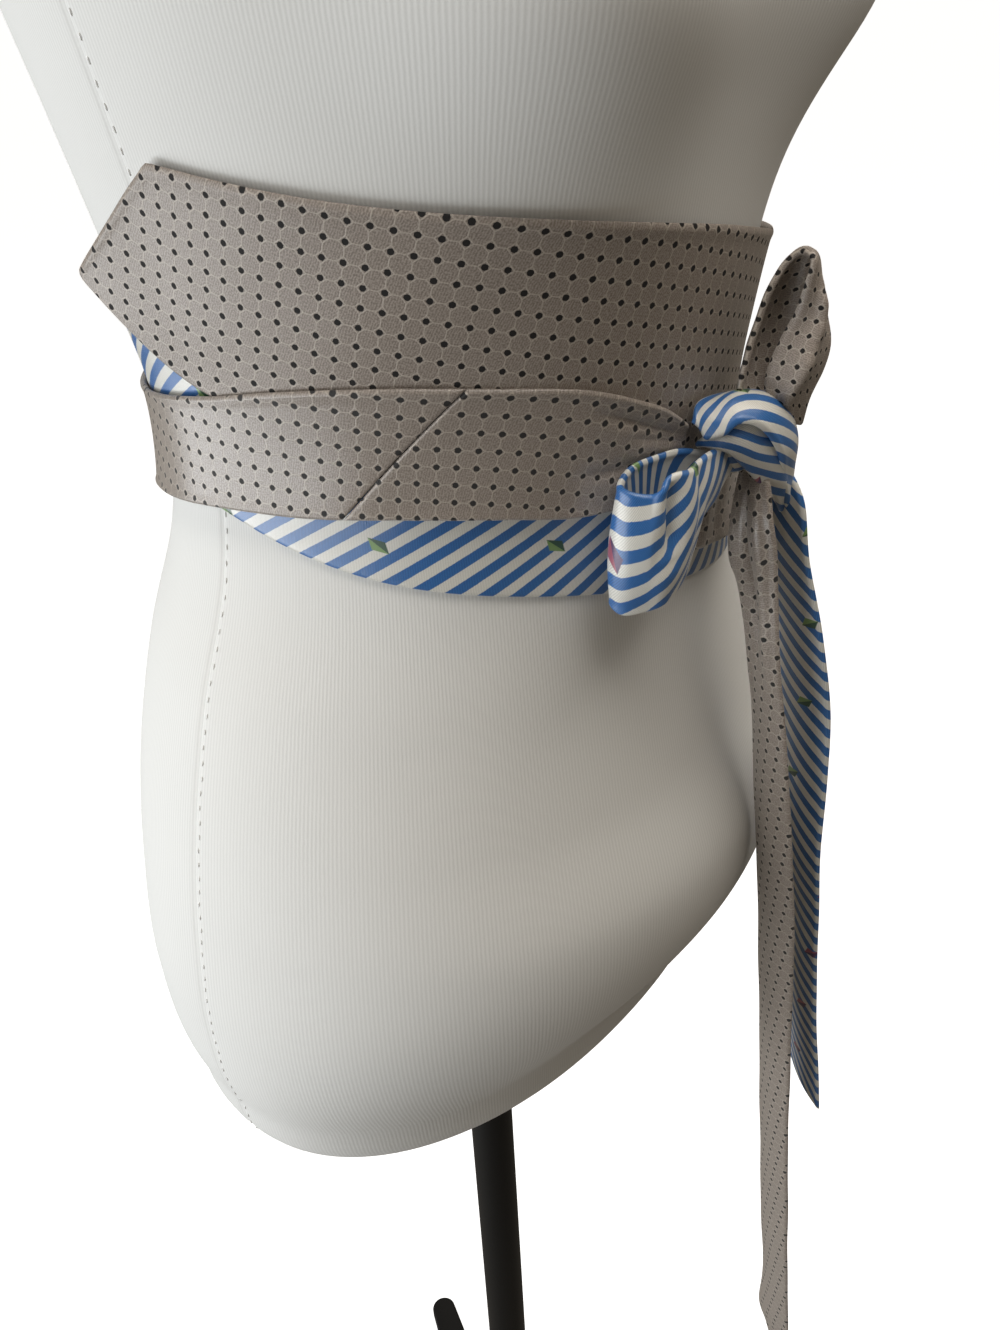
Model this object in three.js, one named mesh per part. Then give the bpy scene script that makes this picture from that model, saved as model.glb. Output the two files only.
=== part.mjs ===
// An obi belt tied round a limbless dress form on a tripod stand.
// Millimetres, +Z up. The origin is the middle of the stand's foot on the floor.
// The front is -Y and the wearer's left is +X. A turn is an angle round the form in
// degrees, 0 at the front and positive towards the wearer's left. A height is
// measured from the waist, and a lift outwards from the form's surface.
import * as THREE from 'three';

// ---------------------------------------------------------------- driving sizes
const WAIST_HEIGHT = 1050;
const TURN_STEP = 5;
const FORM_LEVEL = 20;
const FORM_BOTTOM = -302;
const FORM_FOOT_DROP = 2;
const FORM_TOP = 452;

const PANEL_WALL = 1.3;
const STRAP_WALL = 1.6;
const BOW_WALL = 1.8;
const KNOT_WALL = 2.2;
const GAP = 0.3;
const SEAM_TURN = 0.2;

const POLE_RADIUS = 13;
const COLLAR_RADIUS = 24;
const COLLAR_HEIGHT = 26;
const HUB_RADIUS = 34;
const HUB_HEIGHT = 46;
const LEG_COUNT = 3;
const LEG_REACH = 252;
const LEG_ROOT_WIDTH = 40;
const LEG_TIP_WIDTH = 23;
const LEG_ROOT_HEIGHT = 30;
const LEG_TIP_HEIGHT = 12;
const FIRST_LEG = 60;

// The form's sections: half width, depth to the front and to the back, and how square.
const FORM = [
  { height: -302, half: 120, front: 60, back: 70, square: 2.0 },
  { height: -290, half: 145, front: 85, back: 95, square: 2.1 },
  { height: -250, half: 165, front: 105, back: 115, square: 2.2 },
  { height: -200, half: 170, front: 135, back: 125, square: 2.2 },
  { height: -150, half: 165, front: 145, back: 130, square: 2.1 },
  { height: -100, half: 155, front: 130, back: 125, square: 2.1 },
  { height: -50, half: 140, front: 120, back: 120, square: 2.0 },
  { height: 0, half: 120, front: 115, back: 105, square: 2.0 },
  { height: 50, half: 114, front: 120, back: 100, square: 2.0 },
  { height: 100, half: 120, front: 126, back: 110, square: 2.1 },
  { height: 150, half: 130, front: 130, back: 120, square: 2.1 },
  { height: 200, half: 140, front: 135, back: 125, square: 2.2 },
  { height: 260, half: 150, front: 120, back: 120, square: 2.3 },
  { height: 305, half: 162, front: 100, back: 115, square: 2.3 },
  { height: 340, half: 164, front: 85, back: 100, square: 2.2 },
  { height: 362, half: 142, front: 70, back: 90, square: 2.1 },
  { height: 382, half: 96, front: 60, back: 70, square: 2.1 },
  { height: 402, half: 64, front: 52, back: 60, square: 2.0 },
  { height: 428, half: 56, front: 49, back: 57, square: 2.0 },
  { height: 452, half: 55, front: 48, back: 56, square: 2.0 },
];
const FOOT_INSET = 12;
const NECK_CAP = [
  { rise: 0, inset: 0.5 },
  { rise: 7, inset: 0 },
  { rise: 8.5, inset: 2.5 },
  { rise: 10, inset: 8 },
];
const BUST = { rise: 26, turn: 26, spread: 21, height: 185, depth: 48 };

// The cloth that lies on the form. Top and bottom are heights of its two edges.
const UNDER_PANEL = [
  { turn: -130, top: 104, bottom: 58, lift: 3 },
  { turn: -110, top: 110, bottom: 36, lift: 2.2 },
  { turn: -85, top: 108, bottom: 23, lift: 1 },
  { turn: -60, top: 98, bottom: 8, lift: 0.7 },
  { turn: -30, top: 85, bottom: -5, lift: 0.7 },
  { turn: 0, top: 71, bottom: -20, lift: 0.7 },
  { turn: 30, top: 57, bottom: -33, lift: 0.7 },
  { turn: 60, top: 49, bottom: -38, lift: 0.7 },
  { turn: 85, top: 48, bottom: -36, lift: 0.7 },
  { turn: 105, top: 52, bottom: -24, lift: 0.7 },
  { turn: 125, top: 58, bottom: 11, lift: 0.7 },
];
const OUTER_PANEL = [
  { turn: -107, top: 106, bottom: 103, lift: 12 },
  { turn: -101, top: 115, bottom: 91, lift: 8.8 },
  { turn: -95, top: 125, bottom: 79, lift: 5.3 },
  { turn: -89, top: 135, bottom: 71, lift: 3 },
  { turn: -85, top: 141, bottom: 68, lift: 2.6 },
  { turn: -83, top: 144, bottom: 66, lift: 2.5 },
  { turn: -81, top: 143.5, bottom: 63.5, lift: 2.4 },
  { turn: -74, top: 141, bottom: 54, lift: 2.4 },
  { turn: -60, top: 136, bottom: 47, lift: 2.4 },
  { turn: -30, top: 127, bottom: 38, lift: 2.4 },
  { turn: 0, top: 114, bottom: 24, lift: 2.4 },
  { turn: 25, top: 101, bottom: 12, lift: 3.5 },
  { turn: 50, top: 93, bottom: 4, lift: 6.8 },
  { turn: 74, top: 91, bottom: 3, lift: 6.3 },
  { turn: 84, top: 90, bottom: 13, lift: 5.4 },
  { turn: 90, top: 80, bottom: 19, lift: 5.2 },
  { turn: 96, top: 70, bottom: 27, lift: 5.8 },
  { turn: 102, top: 60, bottom: 37, lift: 8 },
  { turn: 108, top: 52, bottom: 49, lift: 11.5 },
];
// The strap from the under panel's left end, over the back and round the right side.
const RIGHT_STRAP = [
  { turn: -235, top: 58, bottom: 12, lift: 0.7 },
  { turn: -225, top: 58, bottom: 12, lift: 1.5 },
  { turn: -215, top: 58, bottom: 12, lift: 2.7 },
  { turn: -180, top: 60, bottom: 14, lift: 2.7 },
  { turn: -155, top: 57, bottom: 12, lift: 3.2 },
  { turn: -140, top: 56, bottom: 11, lift: 4.7 },
  { turn: -125, top: 57, bottom: 13, lift: 5 },
  { turn: -110, top: 60, bottom: 19, lift: 4.4 },
  { turn: -85, top: 69, bottom: 28, lift: 4.4 },
  { turn: -70, top: 75, bottom: 30, lift: 4.5 },
  { turn: -50, top: 78, bottom: 31, lift: 4.3 },
  { turn: -37, top: 76, bottom: 29, lift: 4.3 },
  { turn: -22, top: 70, bottom: 24, lift: 4.3 },
  { turn: -14, top: 63, bottom: 24, lift: 4.6 },
  { turn: -7, top: 55, bottom: 28, lift: 5.2 },
  { turn: -3, top: 48, bottom: 34, lift: 6.5 },
];
const STRAP_SEAM = { turn: -52, slant: 21 };
const SLANT_REACH = 30;
// The strap from the under panel's right end, over the back and round the left side.
const LEFT_STRAP = [
  { turn: 230, top: 104, bottom: 58, lift: 0.7 },
  { turn: 215, top: 91, bottom: 46, lift: 0.7 },
  { turn: 200, top: 74, bottom: 29, lift: 0.7 },
  { turn: 180, top: 50, bottom: 5, lift: 0.7 },
  { turn: 160, top: 27, bottom: -18, lift: 0.7 },
  { turn: 145, top: 11, bottom: -34, lift: 0.7 },
  { turn: 135, top: 7, bottom: -37, lift: 1.6 },
  { turn: 125, top: 6, bottom: -39, lift: 2.6 },
  { turn: 100, top: 10, bottom: -35, lift: 5.2 },
  { turn: 75, top: 17, bottom: -29, lift: 8.2 },
  { turn: 50, top: 28, bottom: -19, lift: 8.8 },
  { turn: 34, top: 32, bottom: -15, lift: 8 },
  { turn: 24, top: 32, bottom: -14, lift: 9.5 },
  { turn: 17, top: 31, bottom: -12, lift: 10 },
  { turn: 11, top: 29, bottom: -10, lift: 9.5 },
  { turn: 5, top: 26, bottom: -8, lift: 8 },
  { turn: -2, top: 24, bottom: -5, lift: 7 },
];

// The bow. A strap's middle line is { side, out, up } from the middle of the knot: side
// towards the wearer's left, out away from the form. Its width runs from its near edge to
// its far edge at a lean above the level and a swing round from side towards out, in degrees.
const KNOT = { x: 10, y: -138, height: 40 };
const KNOT_CORE = { side: 3, out: -3, up: -3, halfSide: 12.5, halfOut: 8, halfUp: 11.5 };
const UPPER_TURN = [
  { side: -18, out: -6, up: 7, width: 8, lean: 45, swing: -110, bulge: 1 },
  { side: -13, out: -4, up: 10, width: 18, lean: 20, swing: -65, bulge: 3 },
  { side: -3, out: 0, up: 11, width: 26, lean: 0, swing: -35, bulge: 5.5 },
  { side: 6, out: 7, up: 8, width: 28, lean: 0, swing: -20, bulge: 5 },
  { side: 12, out: 11, up: -2, width: 22, lean: 5, swing: -17, bulge: 3.5 },
  { side: 16, out: 10, up: -15, width: 15, lean: 5, swing: -16, bulge: 2.5 },
  { side: 20, out: 10, up: -29, width: 7, lean: 25, swing: -30, bulge: 0.5 },
];
const LOWER_TURN = [
  { side: -10, out: -11, up: -2, width: 2, lean: 60, swing: 0, bulge: 0.2 },
  { side: -12, out: -5, up: 1, width: 4, lean: 85, swing: 0, bulge: 0.5 },
  { side: -9, out: 2, up: 2, width: 9, lean: 75, swing: 20, bulge: 1 },
  { side: -4, out: 4, up: -2, width: 14, lean: 78, swing: 40, bulge: 2.5 },
  { side: 4, out: 6, up: -11, width: 15, lean: 78, swing: 60, bulge: 2.5 },
  { side: 11, out: 6, up: -18, width: 13, lean: 80, swing: 60, bulge: 1 },
  { side: 20, out: 5, up: -32, width: 6, lean: 70, swing: 55, bulge: 0.2 },
];
const STRIPED_LOOP = [
  { side: -21, out: -10, up: -11, width: 24, lean: 86, swing: 180, bulge: 1 },
  { side: -31, out: -13, up: -20, width: 44, lean: 86, swing: 170, bulge: 1 },
  { side: -45, out: -16, up: -23, width: 49, lean: 88, swing: 90, bulge: 1 },
  { side: -55, out: -14, up: -24, width: 46, lean: 87, swing: 50, bulge: 2 },
  { side: -56, out: -9, up: -26, width: 47, lean: 87, swing: 55, bulge: 3 },
  { side: -51, out: -3, up: -26, width: 45, lean: 88, swing: 90, bulge: 4 },
  { side: -48, out: 1, up: -23, width: 46, lean: 86, swing: 160, bulge: 4 },
  { side: -41, out: 2, up: -19, width: 44, lean: 82, swing: 170, bulge: 4 },
  { side: -35, out: 2, up: -15, width: 34, lean: 81, swing: 170, bulge: 4 },
  { side: -29, out: 1, up: -10, width: 25, lean: 79, swing: 165, bulge: 3 },
  { side: -20, out: 0, up: -8, width: 21, lean: 74, swing: 175, bulge: 2 },
];
const DOTTED_LOOP = [
  { side: 8, out: 1, up: 19, width: 19, lean: -14, swing: 14, bulge: 4 },
  { side: 11, out: 2, up: 27, width: 22, lean: -13, swing: 17, bulge: 7 },
  { side: 15, out: 3, up: 38, width: 21, lean: -11, swing: 20, bulge: 7 },
  { side: 17, out: 4, up: 48, width: 19, lean: -13, swing: 19, bulge: 5 },
  { side: 19, out: 6, up: 56, width: 14, lean: -20, swing: 21, bulge: 3 },
  { side: 20, out: 9, up: 61, width: 9, lean: -26, swing: 7, bulge: 1 },
  { side: 17, out: 14, up: 60, width: 8, lean: -25, swing: -16, bulge: 0.5 },
  { side: 17, out: 14, up: 51, width: 10, lean: -24, swing: 6, bulge: 1.5 },
  { side: 19, out: 13, up: 41, width: 14, lean: -13, swing: 22, bulge: 3 },
  { side: 19, out: 12, up: 32, width: 19, lean: -12, swing: 35, bulge: 5 },
  { side: 17, out: 10, up: 22, width: 21, lean: -3, swing: 37, bulge: 6 },
  { side: 16, out: 10, up: 15, width: 17, lean: -10, swing: 38, bulge: 4 },
];
const DOTTED_TAIL = [
  { side: 2, out: 6, up: -31, width: 20, lean: -16, swing: -81, bulge: -2 },
  { side: 3, out: 7, up: -45, width: 23, lean: -22, swing: -82, bulge: -2 },
  { side: 6, out: 9, up: -62, width: 21, lean: -10, swing: -73, bulge: -2 },
  { side: 10, out: 13, up: -100, width: 22, lean: 0, swing: -63, bulge: -3 },
  { side: 15, out: 17, up: -150, width: 25, lean: 0, swing: -63, bulge: -3 },
  { side: 20, out: 20, up: -200, width: 25, lean: 0, swing: -68, bulge: -3 },
  { side: 27, out: 22, up: -260, width: 25, lean: 0, swing: -68, bulge: -3 },
  { side: 34, out: 25, up: -350, width: 25, lean: 0, swing: -64, bulge: -3 },
  { side: 40, out: 30, up: -450, width: 25, lean: 0, swing: -64, bulge: -3 },
  { side: 47, out: 35, up: -545, width: 26, lean: 4, swing: -62, bulge: -3 },
  { side: 49, out: 36, up: -585, width: 29, lean: 4, swing: -66, bulge: -2 },
  { side: 50, out: 39, up: -600, width: 21, lean: 0, swing: -68, bulge: -1 },
  { side: 51, out: 39, up: -617, width: 5, lean: 0, swing: -63, bulge: 0 },
];
const STRIPED_TAIL = [
  { side: 23, out: 11, up: -52, width: 22, lean: 0, swing: -76, bulge: -1 },
  { side: 29, out: 16, up: -85, width: 26, lean: 0, swing: -73, bulge: -2 },
  { side: 34, out: 19, up: -120, width: 28, lean: 0, swing: -74, bulge: -3 },
  { side: 37, out: 21, up: -155, width: 28, lean: 0, swing: -70, bulge: -3 },
  { side: 41, out: 22, up: -200, width: 27, lean: 0, swing: -65, bulge: -3 },
  { side: 48, out: 25, up: -260, width: 25, lean: 0, swing: -59, bulge: -3 },
  { side: 53, out: 28, up: -320, width: 25, lean: 5, swing: -60, bulge: -3 },
  { side: 58, out: 32, up: -376, width: 31, lean: 40, swing: -71, bulge: -2 },
];

// ---------------------------------------------------------------- finishes
const cloth = (color, roughness) => new THREE.MeshStandardMaterial({ color, roughness, metalness: 0 });
const STRIPED_SATIN = cloth(0x5f88b4, 0.45);
const DOTTED_JACQUARD = cloth(0xb3a89e, 0.6);
const JERSEY = cloth(0xe4e4df, 0.85);
const BLACK_METAL = new THREE.MeshStandardMaterial({ color: 0x151414, roughness: 0.4, metalness: 0.6 });
const CAP_PLASTIC = new THREE.MeshStandardMaterial({ color: 0x1c1b1b, roughness: 0.5, metalness: 0 });

// ---------------------------------------------------------------- shared shapes
const radians = THREE.MathUtils.degToRad;

/** A column of a table at any value of its key, on a smooth curve through the rows. */
function column(rows, key, name, at) {
  const slope = (i) => (rows[i + 1][name] - rows[i][name]) / (rows[i + 1][key] - rows[i][key]);
  const last = rows.length - 1;
  const down = rows[0][key] > rows[last][key];
  const after = rows.findIndex((row) => (down ? row[key] <= at : row[key] >= at));
  const i = Math.min(Math.max(after - 1, 0), last - 1);
  const tangent = (k) => {
    if (k === 0) return slope(0);
    if (k === last) return slope(last - 1);
    const before = rows[k][key] - rows[k - 1][key];
    const next = rows[k + 1][key] - rows[k][key];
    return (slope(k - 1) * next + slope(k) * before) / (before + next);
  };
  const span = rows[i + 1][key] - rows[i][key];
  const t = THREE.MathUtils.clamp((at - rows[i][key]) / span, 0, 1);
  return (2 * t ** 3 - 3 * t ** 2 + 1) * rows[i][name] + (t ** 3 - 2 * t ** 2 + t) * span * tangent(i)
    + (3 * t ** 2 - 2 * t ** 3) * rows[i + 1][name] + (t ** 3 - t ** 2) * span * tangent(i + 1);
}

/** The form's radius at a turn and a height. */
function formRadius(turn, height) {
  const [half, front, back, square] = ['half', 'front', 'back', 'square']
    .map((name) => column(FORM, 'height', name, height));
  const across = Math.abs(Math.sin(radians(turn)));
  const along = Math.cos(radians(turn));
  const depth = along > 0 ? front : back;
  const plain = ((across / half) ** square + (Math.abs(along) / depth) ** square) ** (-1 / square);
  const facing = ((turn + 180) % 360 + 360) % 360 - 180;
  const lobe = (side) => Math.exp(-(((facing - side * BUST.turn) / BUST.spread) ** 2));
  const level = Math.exp(-(((height - BUST.height) / BUST.depth) ** 2));
  return plain + BUST.rise * level * (lobe(1) + lobe(-1));
}

function onForm(turn, height, lift) {
  const radius = formRadius(turn, height) + lift;
  const angle = radians(turn);
  return new THREE.Vector3(radius * Math.sin(angle), -radius * Math.cos(angle), WAIST_HEIGHT + height);
}

/** A solid from a list of triangles, turned so that its faces point out. */
function solid(points, triangles) {
  let volume = 0;
  for (const [a, b, c] of triangles) volume += points[a].dot(points[b].clone().cross(points[c]));
  const facing = volume < 0 ? triangles.map(([a, b, c]) => [a, c, b]) : triangles;
  const geometry = new THREE.BufferGeometry();
  geometry.setAttribute('position', new THREE.Float32BufferAttribute(points.flatMap((p) => p.toArray()), 3));
  geometry.setIndex(facing.flat());
  geometry.computeVertexNormals();
  return geometry;
}

/** Cloth with a wall: two like grids of points, its outer and inner faces, closed at the edges. */
function walledSheet(outer, inner) {
  const rows = outer.length;
  const columns = outer[0].length;
  const points = [...outer.flat(), ...inner.flat()];
  const out = (i, j) => i * columns + j;
  const into = (i, j) => rows * columns + out(i, j);
  const triangles = [];
  const quad = (a, b, c, d) => triangles.push([a, b, c], [a, c, d]);
  for (let i = 0; i < rows - 1; i += 1) {
    for (let j = 0; j < columns - 1; j += 1) {
      quad(out(i, j), out(i + 1, j), out(i + 1, j + 1), out(i, j + 1));
      quad(into(i, j), into(i, j + 1), into(i + 1, j + 1), into(i + 1, j));
    }
    quad(out(i, 0), into(i, 0), into(i + 1, 0), out(i + 1, 0));
    const end = columns - 1;
    quad(out(i, end), out(i + 1, end), into(i + 1, end), into(i, end));
  }
  for (let j = 0; j < columns - 1; j += 1) {
    quad(out(0, j), out(0, j + 1), into(0, j + 1), into(0, j));
    const end = rows - 1;
    quad(out(end, j), into(end, j), into(end, j + 1), out(end, j + 1));
  }
  return solid(points, triangles);
}

/** Cloth wrapped on the form between two turns; a slant leans an end, foot to top. */
function wrapped(table, wall, across, from, to, fromSlant = 0, toSlant = 0) {
  const way = Math.sign(to - from);
  const inside = (turn) => way * turn > way * from + 1 && way * turn < way * to - 1;
  const even = Array.from({ length: 1 + 720 / TURN_STEP }, (_, k) => k * TURN_STEP - 360);
  const kept = [...new Set([...even, ...table.map((row) => row.turn)])].filter(inside);
  const turns = [from, ...kept.sort((a, b) => way * (a - b)), to];
  const near = (turn, end) => Math.max(0, 1 - Math.abs(turn - end) / SLANT_REACH);
  const grid = (extra) => turns.map((straight) => {
    const lean = fromSlant * near(straight, from) + toSlant * near(straight, to);
    return Array.from({ length: across + 1 }, (__, j) => {
      const v = j / across;
      const turn = straight + lean * (v - 0.5);
      const bottom = column(table, 'turn', 'bottom', turn);
      const top = column(table, 'turn', 'top', turn);
      const lift = column(table, 'turn', 'lift', turn);
      return onForm(turn, bottom + (top - bottom) * v, lift + extra);
    });
  });
  return walledSheet(grid(wall), grid(0));
}

/** A free strap along its rows' middle line, bulging between its two edges. */
function strap(table, wall, across, stepsPerRow) {
  const edge = (share) => new THREE.CatmullRomCurve3(table.map((row) => {
    const reach = share * row.width * Math.cos(radians(row.lean));
    const side = row.side + reach * Math.cos(radians(row.swing));
    const out = row.out + reach * Math.sin(radians(row.swing));
    const up = row.up + share * row.width * Math.sin(radians(row.lean));
    return new THREE.Vector3(KNOT.x + side, KNOT.y - out, WAIST_HEIGHT + KNOT.height + up);
  }));
  const near = edge(-0.5);
  const far = edge(0.5);
  const bulge = new THREE.CatmullRomCurve3(table.map((row, i) => new THREE.Vector3(i, row.bulge, 0)));
  const steps = (table.length - 1) * stepsPerRow;
  const flat = (share, v) => near.getPoint(share).lerp(far.getPoint(share), v);
  const normal = (share, v) => {
    const step = 0.5 / steps;
    const low = Math.max(share - step, 0);
    const high = Math.min(share + step, 1);
    const along = flat(high, v).sub(flat(low, v));
    return along.cross(flat(share, 1).sub(flat(share, 0))).normalize();
  };
  const grid = (offset) => Array.from({ length: steps + 1 }, (_, i) => {
    const share = i / steps;
    return Array.from({ length: across + 1 }, (__, j) => {
      const v = j / across;
      const rise = bulge.getPoint(share).y * (1 - (2 * v - 1) ** 2) + offset;
      return flat(share, v).addScaledVector(normal(share, v), rise);
    });
  });
  return walledSheet(grid(wall / 2), grid(-wall / 2));
}

/** A closed solid through level rings of equal length, with flat ends. */
function stackedRings(rings) {
  const count = rings[0].length;
  const middle = (ring) => ring.reduce((sum, p) => sum.add(p), new THREE.Vector3()).divideScalar(count);
  const points = [...rings.flat(), middle(rings[0]), middle(rings[rings.length - 1])];
  const foot = points.length - 2;
  const head = points.length - 1;
  const triangles = [];
  for (let j = 0; j < count; j += 1) {
    const next = (j + 1) % count;
    triangles.push([foot, next, j]);
    for (let i = 0; i < rings.length - 1; i += 1) {
      const low = i * count;
      const high = low + count;
      triangles.push([low + j, low + next, high + next], [low + j, high + next, high + j]);
    }
    triangles.push([head, points.length - 2 - count + j, points.length - 2 - count + next]);
  }
  return solid(points, triangles);
}

const part = new THREE.Group();
function add(name, geometry, material) {
  const mesh = new THREE.Mesh(geometry, material);
  mesh.name = name;
  part.add(mesh);
  return mesh;
}

// ---------------------------------------------------------------- form and stand
function formRing(height, inset = 0) {
  return Array.from({ length: 360 / TURN_STEP }, (_, i) => onForm(i * TURN_STEP, height, -inset));
}

function buildForm() {
  const count = Math.round((FORM_TOP - FORM_BOTTOM) / FORM_LEVEL);
  const rise = (FORM_TOP - FORM_BOTTOM) / count;
  const heights = Array.from({ length: count + 1 }, (_, i) => FORM_BOTTOM + rise * i);
  const rounded = formRing(FORM_BOTTOM, FOOT_INSET).map((p) => p.setZ(p.z - FORM_FOOT_DROP));
  add('form_torso', stackedRings([rounded, ...heights.map((height) => formRing(height))]), JERSEY);
  const capRings = NECK_CAP.map(({ rise: lift, inset }) => (
    formRing(FORM_TOP, inset).map((p) => p.setZ(p.z + GAP + lift))));
  add('neck_cap', stackedRings(capRings), CAP_PLASTIC);
}

function turned(name, profile, height) {
  const outline = profile.map(([radius, z]) => new THREE.Vector2(radius, z));
  const mesh = add(name, new THREE.LatheGeometry(outline, 36), BLACK_METAL);
  mesh.rotation.x = Math.PI / 2;
  mesh.position.z = height;
}

/** A flat blade with a round end, lying along X and thinning outwards. */
function legBlade() {
  const root = HUB_RADIUS + GAP;
  const end = LEG_REACH - LEG_TIP_WIDTH / 2;
  const plan = new THREE.Shape();
  plan.moveTo(root, -LEG_ROOT_WIDTH / 2);
  plan.absarc(end, 0, LEG_TIP_WIDTH / 2, -Math.PI / 2, Math.PI / 2, false);
  plan.lineTo(root, LEG_ROOT_WIDTH / 2);
  const blade = new THREE.ExtrudeGeometry(plan, { depth: 1, bevelEnabled: false, curveSegments: 12 });
  const place = blade.getAttribute('position');
  for (let i = 0; i < place.count; i += 1) {
    const share = (place.getX(i) - root) / (LEG_REACH - root);
    place.setZ(i, place.getZ(i) * THREE.MathUtils.lerp(LEG_ROOT_HEIGHT, LEG_TIP_HEIGHT, share));
  }
  return blade;
}

function buildStand() {
  const underForm = WAIST_HEIGHT + FORM_BOTTOM - FORM_FOOT_DROP;
  const collarFoot = underForm - GAP - COLLAR_HEIGHT;
  turned('stand_collar', [[0, 0], [POLE_RADIUS + 3, 0], [COLLAR_RADIUS, 8], [COLLAR_RADIUS, COLLAR_HEIGHT],
    [0, COLLAR_HEIGHT]], collarFoot);
  const poleFoot = HUB_HEIGHT + GAP;
  turned('stand_pole', [[0, 0], [POLE_RADIUS, 0], [POLE_RADIUS, collarFoot - GAP - poleFoot],
    [0, collarFoot - GAP - poleFoot]], poleFoot);
  turned('stand_hub', [[0, 0], [HUB_RADIUS - 2, 0], [HUB_RADIUS, 2], [HUB_RADIUS, HUB_HEIGHT - 14],
    [HUB_RADIUS - 12, HUB_HEIGHT], [0, HUB_HEIGHT]], 0);
  for (let i = 0; i < LEG_COUNT; i += 1) {
    const leg = add(`stand_leg_${i + 1}`, legBlade(), BLACK_METAL);
    leg.rotation.z = radians(FIRST_LEG + i * 360 / LEG_COUNT);
  }
}

// ---------------------------------------------------------------- the belt
function buildWrappedCloth() {
  add('under_panel', wrapped(UNDER_PANEL, PANEL_WALL, 8, -130, 125), STRIPED_SATIN);
  add('outer_panel', wrapped(OUTER_PANEL, PANEL_WALL, 8, -107, 108), DOTTED_JACQUARD);
  const { turn, slant } = STRAP_SEAM;
  const beforeSeam = turn - SEAM_TURN / 2;
  const afterSeam = turn + SEAM_TURN / 2;
  add('right_strap_back', wrapped(RIGHT_STRAP, STRAP_WALL, 4, -235 + SEAM_TURN, beforeSeam, 0, slant),
    DOTTED_JACQUARD);
  add('right_strap_front', wrapped(RIGHT_STRAP, STRAP_WALL, 4, afterSeam, -3, slant, 0), DOTTED_JACQUARD);
  add('left_strap', wrapped(LEFT_STRAP, STRAP_WALL, 4, 230 - SEAM_TURN, -2), DOTTED_JACQUARD);
}

function knotCore() {
  const { side, out, up, halfSide, halfOut, halfUp } = KNOT_CORE;
  const levels = 8;
  const sides = 18;
  return stackedRings(Array.from({ length: levels + 1 }, (_, i) => {
    const tilt = radians(-78 + 156 * i / levels);
    return Array.from({ length: sides }, (__, j) => {
      const angle = 2 * Math.PI * j / sides;
      return new THREE.Vector3(
        KNOT.x + side + halfSide * Math.cos(tilt) * Math.cos(angle),
        KNOT.y - out + halfOut * Math.cos(tilt) * Math.sin(angle),
        WAIST_HEIGHT + KNOT.height + up + halfUp * Math.sin(tilt));
    });
  }));
}

function buildBow() {
  add('knot_core', knotCore(), STRIPED_SATIN);
  add('knot_upper_turn', strap(UPPER_TURN, KNOT_WALL, 5, 2), STRIPED_SATIN);
  add('knot_lower_turn', strap(LOWER_TURN, KNOT_WALL, 5, 2), STRIPED_SATIN);
  add('striped_loop', strap(STRIPED_LOOP, BOW_WALL, 5, 2), STRIPED_SATIN);
  add('dotted_loop', strap(DOTTED_LOOP, BOW_WALL, 5, 2), DOTTED_JACQUARD);
  add('dotted_tail', strap(DOTTED_TAIL, BOW_WALL, 4, 3), DOTTED_JACQUARD);
  add('striped_tail', strap(STRIPED_TAIL, BOW_WALL, 4, 3), STRIPED_SATIN);
}

buildForm();
buildStand();
buildWrappedCloth();
buildBow();

export default part;
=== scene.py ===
"""An obi belt tied in a half bow round a limbless dress form on a tripod stand.

Laid out as a Blender add-on and run as a script. Tables are in millimetres, with heights
from the waist and turns in degrees round the form, 0 at the front and positive towards
the wearer's left. Blender's own units are metres, +Z up, the front facing -Y.
"""

import math

import bpy
import numpy as np
from mathutils import Matrix, Vector


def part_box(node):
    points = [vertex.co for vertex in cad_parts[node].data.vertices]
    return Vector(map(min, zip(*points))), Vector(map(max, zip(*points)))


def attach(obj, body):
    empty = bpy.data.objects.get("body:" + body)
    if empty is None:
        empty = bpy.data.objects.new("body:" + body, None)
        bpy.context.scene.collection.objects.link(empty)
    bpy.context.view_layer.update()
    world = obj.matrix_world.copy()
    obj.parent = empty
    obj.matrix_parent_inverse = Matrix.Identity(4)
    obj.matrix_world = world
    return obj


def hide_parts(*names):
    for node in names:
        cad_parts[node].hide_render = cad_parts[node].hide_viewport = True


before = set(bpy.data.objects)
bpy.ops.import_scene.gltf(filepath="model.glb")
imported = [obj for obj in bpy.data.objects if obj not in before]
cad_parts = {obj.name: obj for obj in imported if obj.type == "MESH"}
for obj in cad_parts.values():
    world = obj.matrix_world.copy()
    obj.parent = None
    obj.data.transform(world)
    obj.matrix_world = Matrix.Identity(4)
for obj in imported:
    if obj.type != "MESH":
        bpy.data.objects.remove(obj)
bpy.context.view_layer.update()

bl_info = {
    "name": "Obi belt on a dress form",
    "version": (1, 0, 0),
    "blender": (4, 5, 0),
    "location": "3D View > Sidebar > Obi belt",
    "description": "Builds a wrapped obi belt, its bow, and the dress form and stand under it",
    "category": "Object",
}

# ------------------------------------------------------------------ driving sizes
MM = 0.001
# Points closer together than this, in metres, become one.
MERGE = 0.01 * MM

WAIST_HEIGHT = 1050
FORM_BOTTOM, FORM_TOP = -302, 452
FOOT_INSET, FOOT_DROP = 12, 2
MEAN_RADIUS = 120
# The cover's side seams: their turns, and how far round each groove spreads, in degrees.
SIDE_SEAMS, SEAM_SPREAD = (-90, 90), 0.55
# Half a stitch's size: across, outwards and up.
STITCH_HALVES = (0.45, 0.35, 1.15)

BELT_LEVEL = 50
SEAM_GAP = 0.2
ROLL_COLUMNS = 6
STRAP_SEAM_TURN, STRAP_SEAM_SLANT, SLANT_REACH = -52, 21, 30
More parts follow.
